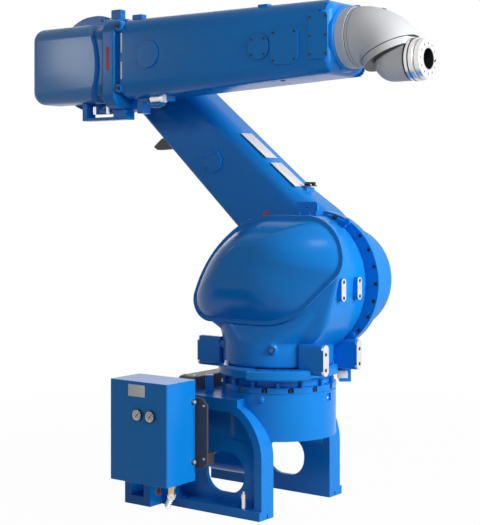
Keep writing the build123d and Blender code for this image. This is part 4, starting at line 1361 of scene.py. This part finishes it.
@dataclass
class Forearm(Section):
    """Forearm from the rear motor cover to the nose, with its covers, lugs and underside fittings."""

    side_y: float = -127.0
    cover_y: float = -133.0
    front_round: float = 0.038
    axis_z: float = 1640.0
    nose_radius: float = 0.1195
    # Z and height of each pale strip that is a painted highlight on the tube's rear edge
    strips: tuple[tuple[float, float], ...] = ((1678, 0.074), (1573, 0.066))
    joint_x: float = -655.0
    front_screw_xs: tuple[float, float] = (222, 286)
    front_screw_zs: tuple[float, ...] = (1704, 1640, 1578)
    square_centre: tuple[float, float] = (114, 1614)
    disc_centre: tuple[float, float] = (4, 1619)
    # X, Z and radius of each round cover's groove, whose shade is painted as a dark ring, the radius in
    # metres
    seams: tuple[tuple[float, float, float], ...] = ((-509, 1627, 0.052), (4, 1619.2, 0.046))
    knob_xs: tuple[float, ...] = (-3, 18, 61)
    under_bolt_xs: tuple[float, ...] = (-870, -800, -720, -670)
    under_post_xs: tuple[float, float] = (-840, -770)
    elbow_bolt_circle: float = 0.181

    def build(self) -> None:
        """Dress the forearm's pieces and add its small parts."""
        for node in ("elbow_ring", "elbow_housing", "collar_lug", "tube_lug", "under_plate", "under_bracket"):
            self.shop.skin(node, Body.FOREARM, "enamel")
        self.shop.skin("forearm_tube", Body.FOREARM, "enamel", shape=self.round_front)
        self.build_nose()
        self.shop.skin("elbow_collar", Body.FOREARM, "enamel", edge=0.011)
        for node in ("tube_cover_rear", "tube_cover_front", "square_cover", "front_plate"):
            self.shop.skin(node, Body.FOREARM, "sheet", edge=0.0015)
        # The rear cover's lighter cast enamel carries a painted sheen.
        self.shop.skin("rear_cover", Body.FOREARM, "cast", edge=0.005)
        self.add_collar_parts()
        self.add_cover_screws()
        self.add_cover_seams()
        self.add_top_parts()
        self.add_underside()
        self.add_elbow_bolts()
        self.join_groups()

    def round_front(self, tube: bpy.types.Object) -> None:
        """Round the tube's front end, where the casting draws in to the wrist.

        Args:
            tube: Copy of the forearm tube.
        """
        with editing(tube):
            pick_edges(tube, lambda one, two: min(one.x, two.x) > 0.2915)
            bpy.ops.mesh.bevel(offset=self.front_round, segments=8)

    def build_nose(self) -> None:
        """Turn the round nose that carries the wrist, in place of the plain ring."""
        profile = [(0.04, 0.25), (self.nose_radius, 0.25), (self.nose_radius, 0.272), (0.1175, 0.288),
                   (0.1135, 0.298), (0.108, 0.302), (0.04, 0.302), (0.04, 0.25)]
        nose = lathe(profile, mm(0, 0, self.axis_z), (1, 0, 0), 72)
        nose.data.materials.append(self.shop.finishes["enamel"])
        finish_piece(nose, "forearm_nose_shell", Body.FOREARM)
        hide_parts("forearm_nose")

    def near(self, x: float, z: float, y: float) -> tuple[Vector, Vector]:
        """Foot and facing of a screw on the near side."""
        return mm(x, y, z), Vector((0, -1, 0))

    def add_collar_parts(self) -> None:
        """Add the red strip, the pale strips that are painted highlights along the tube's rear edge, and the
        bolts of the collar.
        """
        red_strip = thin_plate(0.013, 0.088, 0.001, 0.002, mm(-706, self.cover_y, 1622), (0, -1, 0))
        self.add(red_strip, "collar_red_strip", Body.FOREARM, "red")
        # Pale strips painted as the highlight on the tube's rear edge.
        for z, height in self.strips:
            strip = thin_plate(0.007, height, 0.0016, 0.001, mm(-640, self.side_y, z), (0, -1, 0))
            self.add(strip, "joint_strips", Body.FOREARM, "blank")
        boss = lathe([(0, -0.02), (0.021, -0.02), (0.021, 0.004), (0.018, 0.008), (0.012, 0.009), (0, 0.009)],
                     mm(self.joint_x, self.side_y + 4, 1742), (0, -1, 0), 28)
        self.add(boss, "joint_bosses", Body.FOREARM, "enamel")
        top_place = [self.near(self.joint_x, 1742, self.side_y - 5)]
        self.screws(Screw(0.0085, 0.007), top_place, "joint_bolts", Body.FOREARM)
        low = lathe([(0, -0.02), (0.017, -0.02), (0.017, 0.003), (0.014, 0.007), (0, 0.007)],
                    mm(self.joint_x, self.side_y + 4, 1506), (0, -1, 0), 28)
        self.add(low, "joint_bosses", Body.FOREARM, "enamel")
        low_place = [self.near(self.joint_x, 1506, self.side_y - 3)]
        self.screws(Screw(0.0075, 0.006), low_place, "joint_bolts", Body.FOREARM)

    def add_cover_screws(self) -> None:
        """Add the screws of the round, square and front covers."""
        small = Screw(0.0042, 0.003)
        corners = [(side, rise) for side in (-1, 1) for rise in (-1, 1)]
        (square_x, square_z), (disc_x, disc_z) = self.square_centre, self.disc_centre
        groups = {
            "front_plate_screws": [(x, z) for x in self.front_screw_xs for z in self.front_screw_zs],
            "square_cover_screws": [(square_x + 44 * side, square_z + 48 * rise) for side, rise in corners],
            "round_cover_screws": [(disc_x + 27 * side, disc_z + 27 * rise) for side, rise in corners],
        }
        for group, spots in groups.items():
            self.screws(small, [self.near(x, z, self.cover_y) for x, z in spots], group, Body.FOREARM)

    def add_cover_seams(self) -> None:
        """Add a thin dark ring round each round cover, painted as the shade in the groove round it."""
        for x, z, radius in self.seams:
            inner, outer = radius - 0.001, radius + 0.0012
            profile = [(inner, 0), (inner, 0.0006), (outer, 0.0006), (outer, 0), (inner, 0)]
            seam = lathe(profile, mm(x, self.side_y, z), (0, -1, 0), 72)
            self.add(seam, "cover_seams", Body.FOREARM, "dark")

    def add_top_parts(self) -> None:
        """Add the bolts on the lugs and the low bracket on the tube's top."""
        lugs = [(mm(x, -61.5, 1801), Vector((0, 0, 1))) for x in (-725, -690)]
        self.screws(Screw(0.006, 0.004), lugs, "lug_screws", Body.FOREARM)
        bracket = thin_plate(0.044, 0.03, 0.012, 0.004, mm(5, -90, 1757), (0, 0, 1), (0, 1, 0))
        self.add(bracket, "top_bracket", Body.FOREARM, "enamel")
        edge = [(mm(x, -52, 1757 + 22), Vector((0, 0, 1))) for x in (-808, -760)]
        self.screws(Screw(0.0075, 0.008, hexagon=True), edge, "cover_top_bolts", Body.FOREARM, "enamel")

    def add_underside(self) -> None:
        """Add the ribbed fitting, its curved pipe, the knobs and the fittings under the forearm."""
        bends = [mm(-560, -64, 1452), mm(-535, -66, 1440), mm(-505, -68, 1438), mm(-478, -70, 1446)]
        pipe = along_line(bends, 0.011)
        self.add(pipe, "under_pipe", Body.FOREARM, "enamel")
        profile = [(0, 0)]
        for rib in range(5):
            profile += [(0.0115, rib * 0.01), (0.015, rib * 0.01 + 0.002), (0.0115, rib * 0.01 + 0.0085)]
        profile += [(0.017, 0.052), (0.017, 0.066), (0, 0.066)]
        fitting = lathe(profile, mm(-535, -72, 1462), (1, 0, 0.02), 28)
        self.add(fitting, "under_fitting", Body.FOREARM, "steel")
        for x in self.knob_xs:
            knob = lathe([(0, 0), (0.009, 0), (0.011, 0.003), (0.011, 0.016), (0.008, 0.02), (0, 0.02)],
                         mm(x, -60, 1520), (0, 0, -1), 20)
            self.add(knob, "under_knobs", Body.FOREARM, "dark")
        bolts = [(mm(x, -58, 1403), Vector((0, 0, -1))) for x in self.under_bolt_xs]
        self.screws(Screw(0.008, 0.01, hexagon=True), bolts, "under_plate_bolts", Body.FOREARM, "enamel")
        valve = add_block((0.13, 0.04, 0.022), mm(-785, -36, 1427))
        with editing(valve):
            bpy.ops.mesh.select_all(action="SELECT")
            bpy.ops.mesh.bevel(offset=0.005, segments=3)
            pick_faces(valve, lambda place, normal: normal.y < -0.9)
            bpy.ops.mesh.inset(thickness=0.004, depth=-0.002)
        self.add(valve, "under_valve", Body.FOREARM, "enamel")
        profile = [(0, 0), (0.009, 0), (0.009, 0.03), (0.006, 0.033), (0, 0.033)]
        for x in self.under_post_xs:
            post = lathe(profile, mm(x, -58, 1415), (0, 0, 1), 20)
            self.add(post, "under_posts", Body.FOREARM, "steel")

    def add_elbow_bolts(self) -> None:
        """Add the bolts of the elbow ring on the far side."""
        spots = ring_places(mm(-940, 84, 1627), (0, 1, 0), self.elbow_bolt_circle,
                            [22.5 + 45.0 * step for step in range(8)])
        self.screws(Screw(0.007, 0.006), spots, "elbow_ring_bolts", Body.FOREARM)


@dataclass
class Wrist(Section):
    """Grey hollow wrist and its bright tool flange."""

    axis_z: float = 1640.0
    tool_z: float = 1551.0
    tube_start: float = 0.341
    tube_end: float = 0.362
    tube_radius: float = 0.104
    # The leaning joint: where its axis meets the tube's, how far it slopes, and its face along the axis
    joint_x: float = 436.0
    joint_slope: float = 65.0
    joint_rise: float = 0.048
    joint_rim: float = 0.008
    joint_radius: float = 0.105
    bore_radius: float = 0.035
    bend_radius: float = 0.0364
    # Radius within which the bore's faces are painted dark as its shade
    dark_radius: float = 0.0365
    round_steps: int = 96

    def build(self) -> None:
        """Dress the wrist's pieces and add its seams and fasteners."""
        self.shop.skin("wrist_ring", Body.FOREARM, "wrist", edge=0.0015)
        self.build_roll()
        # The bores of the bend and the tool flange are painted dark as their shade.
        self.shop.skin("wrist_bend", Body.BEND, "wrist", edge=0.001, accents={"dark": self.in_bore})
        self.shop.skin("tool_flange", Body.TOOL, "turned", edge=0.001, accents={
            "steel": lambda place, normal: place.x > 0.6035 and normal.x > 0.5,
            "dark": self.in_bore,
        })
        self.add_seams()
        self.add_tool_bands()
        self.join_groups()

    @property
    def joint_centre(self) -> Vector:
        """Point where the tube's axis meets the leaning joint's axis."""
        return mm(self.joint_x, 0, self.axis_z)

    @property
    def lean(self) -> Vector:
        """Direction of the leaning joint's axis."""
        return Vector((cos(radians(self.joint_slope)), 0, -sin(radians(self.joint_slope))))

    def drawn_ring(self, radius: float, place: Matrix, reach: Vector) -> bpy.types.Object:
        """Model a short open tube.

        Args:
            radius: Radius of the tube.
            place: Matrix that moves its first ring from the origin.
            reach: Step from its first ring to its second.

        Returns:
            The tube.
        """
        clear_selection()
        bpy.ops.mesh.primitive_circle_add(vertices=self.round_steps, radius=radius, fill_type="NOTHING")
        ring = bpy.context.object
        ring.data.transform(place)
        with editing(ring):
            bpy.ops.mesh.select_mode(type="EDGE")
            bpy.ops.mesh.select_all(action="SELECT")
            bpy.ops.mesh.extrude_region_move(TRANSFORM_OT_translate={"value": reach})
        return ring

    def passage(self) -> list[bpy.types.Object]:
        """Model the cutters of the open passage: one along each axis, and a ball where they meet."""
        cutters = [
            add_disc(self.bore_radius, 0.105, mm(335, 0, self.axis_z), (1, 0, 0), 40),
            add_disc(self.bore_radius, 0.08, self.joint_centre, self.lean, 40),
        ]
        clear_selection()
        bpy.ops.mesh.primitive_uv_sphere_add(segments=32, ring_count=20, radius=self.bend_radius,
                                             location=self.joint_centre)
        cutters.append(bpy.context.object)
        choose(cutters[-1])
        bpy.ops.object.transform_apply(location=True)
        return cutters

    def build_roll(self) -> None:
        """Model the roll section: a tube that is drawn out to the leaning joint face, hollow inside."""
        square = Matrix.Rotation(pi / 2, 4, (0, 1, 0))
        sloped = Matrix.Rotation(radians(90 + self.joint_slope), 4, (0, 1, 0))
        start = Matrix.Translation(mm(self.tube_start * 1000, 0, self.axis_z))
        face = Matrix.Translation(self.joint_centre + self.lean * self.joint_rise)
        reach = Vector((self.tube_end - self.tube_start, 0, 0))
        tube = self.drawn_ring(self.tube_radius, start @ square, reach)
        joint = self.drawn_ring(self.joint_radius, face @ sloped, self.lean * self.joint_rim)
        roll = join([tube, joint], "wrist_roll_shell")
        with editing(roll):
            pick_edges(roll, lambda one, two: self.on_bridge(one) and self.on_bridge(two))
            bpy.ops.mesh.bridge_edge_loops(number_cuts=6, interpolation="SURFACE", smoothness=0.55)
            bpy.ops.mesh.select_all(action="DESELECT")
            bpy.ops.mesh.select_non_manifold()
            bpy.ops.mesh.edge_face_add()
            bpy.ops.mesh.select_all(action="SELECT")
            bpy.ops.mesh.normals_make_consistent(inside=False)
        for cutter in self.passage():
            carve(roll, [cutter])
        roll.data.materials.append(self.shop.finishes["wrist"])
        finish_piece(roll, "wrist_roll_shell", Body.ROLL)
        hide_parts("wrist_roll")
        self.add_fasteners(roll)

    def in_bore(self, place: Vector, normal: Vector) -> bool:
        """Whether a face is part of the bore, painted dark as the bore's shade, and not of an end face round
        it.
        """
        off_axis = Vector((0, place.y, place.z - self.tool_z / 1000)).length
        return abs(normal.x) < 0.5 and off_axis < self.dark_radius

    def on_bridge(self, place: Vector) -> bool:
        """Whether a point lies on one of the two open ends that the section's surface joins."""
        along = (place - self.joint_centre).dot(self.lean)
        return abs(place.x - self.tube_end) < 0.0002 or abs(along - self.joint_rise) < 0.0002

    def add_seams(self) -> None:
        """Add the dark seals at the roll joint and at the leaning joint."""
        seal = [(0.09, -0.0012), (0.1035, -0.0012), (0.1035, 0.0012), (0.09, 0.0012), (0.09, -0.0012)]
        roll_seal = lathe(seal, mm(339.5, 0, self.axis_z), (1, 0, 0), 64)
        self.add(roll_seal, "roll_seal", Body.FOREARM, "dark")
        centre = self.joint_centre + self.lean * 0.0575
        self.add(lathe(seal, centre, self.lean, 64), "bend_seal", Body.ROLL, "dark")
        line = [(0.1038, -0.0007), (0.1046, -0.0007), (0.1046, 0.0007), (0.1038, 0.0007), (0.1038, -0.0007)]
        self.add(lathe(line, mm(352, 0, self.axis_z), (1, 0, 0), 64), "roll_line", Body.ROLL, "box")

    def add_tool_bands(self) -> None:
        """Add the dark bands of the tool joint, the bright lip of its bore, and a dark disc painted as the
        shade of the dowel hole.
        """
        tool = (1, 0, 0)
        foot = mm(0, 0, self.tool_z)
        for start, end, radius, group, body in (
            (0.543, 0.551, 0.0708, "snout_bands", Body.BEND),
            (0.5605, 0.566, 0.0724, "tool_bands", Body.TOOL),
            (0.582, 0.585, 0.0674, "tool_bands", Body.TOOL),
        ):
            inner = radius - 0.004
            band = [(inner, start), (radius, start + 0.0004), (radius, end - 0.0004), (inner, end),
                    (inner, start)]
            self.add(lathe(band, foot, tool, 64), group, body, "dark")
        lip = [(0.0352, 0.6), (0.0352, 0.6044), (0.038, 0.6046), (0.04, 0.604), (0.04, 0.6)]
        self.add(lathe(lip, foot, tool, 64), "bore_lip", Body.TOOL, "turned")
        dowel = lathe([(0, 0), (0.004, 0), (0.0035, 0.0012), (0, 0.0012)], mm(604, 43, 1546), tool, 20)
        self.add(dowel, "tool_dowel", Body.TOOL, "dark")

    def add_fasteners(self, roll: bpy.types.Object) -> None:
        """Add the two small screws on top of the roll section.

        Args:
            roll: The shell of the roll section, which they seat on.
        """
        outward = Vector((sin(radians(self.joint_slope)), 0, cos(radians(self.joint_slope))))
        places = []
        for reach in (0.02, 0.034):
            foot = self.joint_centre + Vector((reach, 0, 0.101))
            places.append(surface_below(roll, foot + outward * 0.1, -outward))
        self.screws(Screw(0.0035, 0.0022), places, "roll_screws", Body.ROLL)


@dataclass(frozen=True)
class Lamp:
    """A square soft lamp that faces a target."""

    name: str
    place: tuple[float, float, float]
    target: tuple[float, float, float]
    size: float
    power: float

    def hang(self) -> None:
        """Add the lamp to the scene."""
        data = bpy.data.lights.new(self.name, "AREA")
        data.shape = "SQUARE"
        data.size = self.size
        data.energy = self.power
        lamp = bpy.data.objects.new(self.name, data)
        lamp.location = self.place
        sight = Vector(self.target) - Vector(self.place)
        lamp.rotation_euler = sight.to_track_quat("-Z", "Y").to_euler()
        bpy.context.scene.collection.objects.link(lamp)


@dataclass(frozen=True)
class Studio:
    """Camera, soft lamps, pale floor and backdrop."""

    eye: tuple[float, float, float] = (2.644, -3.751, 1.115)
    heading: float = 36.9
    lens: float = 87.98
    sensor: float = 36.0
    horizon_shift: float = -0.1362
    lamps: tuple[Lamp, ...] = (
        Lamp("key_lamp", (4.55, 0.3, 2.5), (0.0, 0.0, 0.9), 2.4, 250.0),
        Lamp("fill_lamp", (2.8, -5.0, 2.8), (-0.1, 0.0, 0.9), 1.8, 5.0),
        Lamp("rim_lamp", (-3.4, 3.4, 2.6), (-0.2, 0.0, 0.8), 2.0, 14.0),
        Lamp("sheen_lamp", (-3.75, -3.0, 2.1), (-0.95, -0.13, 1.62), 0.5, 11.0),
        Lamp("wrist_lamp", (1.7, -1.9, 2.3), (0.45, 0.0, 1.6), 0.7, 14.0),
    )
    floor_size: float = 60.0
    floor_grey: float = 0.5
    # The floor shows white beyond the second distance, and keeps the shadow within the first
    fade_distances: tuple[float, float] = (1.2, 3.6)
    fade_start: float = 0.98
    ambient: float = 0.05
    sight_rays: tuple[str, str, str] = ("Is Camera Ray", "Is Glossy Ray", "Is Transmission Ray")

    def build(self) -> None:
        """Place the camera, the lamps, the floor and the world."""
        self.add_camera()
        for lamp in self.lamps:
            lamp.hang()
        self.add_floor()
        self.light_world()
        bpy.context.scene.view_settings.view_transform = "Standard"

    def add_camera(self) -> None:
        """Add the camera at the photograph's place, looking level."""
        data = bpy.data.cameras.new("photo_camera")
        data.sensor_width = self.sensor
        data.lens = self.lens
        data.shift_y = self.horizon_shift
        camera = bpy.data.objects.new("photo_camera", data)
        camera.location = self.eye
        camera.rotation_euler = (pi / 2, 0.0, radians(self.heading))
        bpy.context.scene.collection.objects.link(camera)
        bpy.context.scene.camera = camera

    def add_floor(self) -> None:
        """Add the pale floor, white to the camera and in reflections apart from the robot's shadow."""
        clear_selection()
        bpy.ops.mesh.primitive_plane_add(size=self.floor_size, location=(0, 0, 0))
        floor = bpy.context.object
        floor.name = "studio_floor"
        recipe = Recipe("floor_white")
        recipe.shade(Base_Color=opaque(self.floor_grey, self.floor_grey, self.floor_grey), Roughness=0.8)
        glow = recipe.node("ShaderNodeEmission", {}, {"Color": opaque(1, 1, 1), "Strength": 1.0})
        rays = [recipe.node("ShaderNodeLightPath", {}, {}, output) for output in self.sight_rays]
        seen = (rays[0] + rays[1] + rays[2]).clamped()
        shader = recipe.tree.nodes.new("ShaderNodeMixShader")
        across = recipe.node("ShaderNodeVectorMath", {"operation": "LENGTH"}, {0: recipe.place}, "Value")
        near, far = self.fade_distances
        spread = {"Value": across, "From Min": near, "From Max": far,
                  "To Min": self.fade_start, "To Max": 1.0}
        fading = recipe.node("ShaderNodeMapRange", {"interpolation_type": "SMOOTHSTEP"}, spread)
        recipe.tree.links.new((seen * fading).output, shader.inputs[0])
        recipe.tree.links.new(recipe.shader.outputs[0], shader.inputs[1])
        recipe.tree.links.new(glow.output, shader.inputs[2])
        recipe.tree.links.new(shader.outputs[0], recipe.tree.nodes["Material Output"].inputs[0])
        floor.data.materials.append(recipe.material)

    def light_world(self) -> None:
        """Light the studio evenly, and show white to the camera and in reflections."""
        world = bpy.data.worlds.new("studio_world")
        world.use_nodes = True
        bpy.context.scene.world = world
        tree = world.node_tree
        background = tree.nodes["Background"]
        background.inputs["Color"].default_value = opaque(1.0, 1.0, 1.0)
        paths = tree.nodes.new("ShaderNodeLightPath")
        level = tree.nodes.new("ShaderNodeMapRange")
        seen = paths.outputs[self.sight_rays[0]]
        for output in self.sight_rays[1:]:
            both = tree.nodes.new("ShaderNodeMath")
            both.operation = "MAXIMUM"
            tree.links.new(seen, both.inputs[0])
            tree.links.new(paths.outputs[output], both.inputs[1])
            seen = both.outputs[0]
        level.inputs["To Min"].default_value = self.ambient
        level.inputs["To Max"].default_value = 1.0
        tree.links.new(seen, level.inputs["Value"])
        tree.links.new(level.outputs["Result"], background.inputs["Strength"])


def main() -> None:
    """Dress the robot and stage it."""
    logging.basicConfig(level=logging.INFO, format="%(message)s")
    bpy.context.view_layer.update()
    shop = Workshop(frame)
    for section in (Base(shop), AirUnit(shop), Head(shop), LowerArm(shop), Forearm(shop), Wrist(shop)):
        section.build()
    Studio().build()


if __name__ == "__main__":
    main()
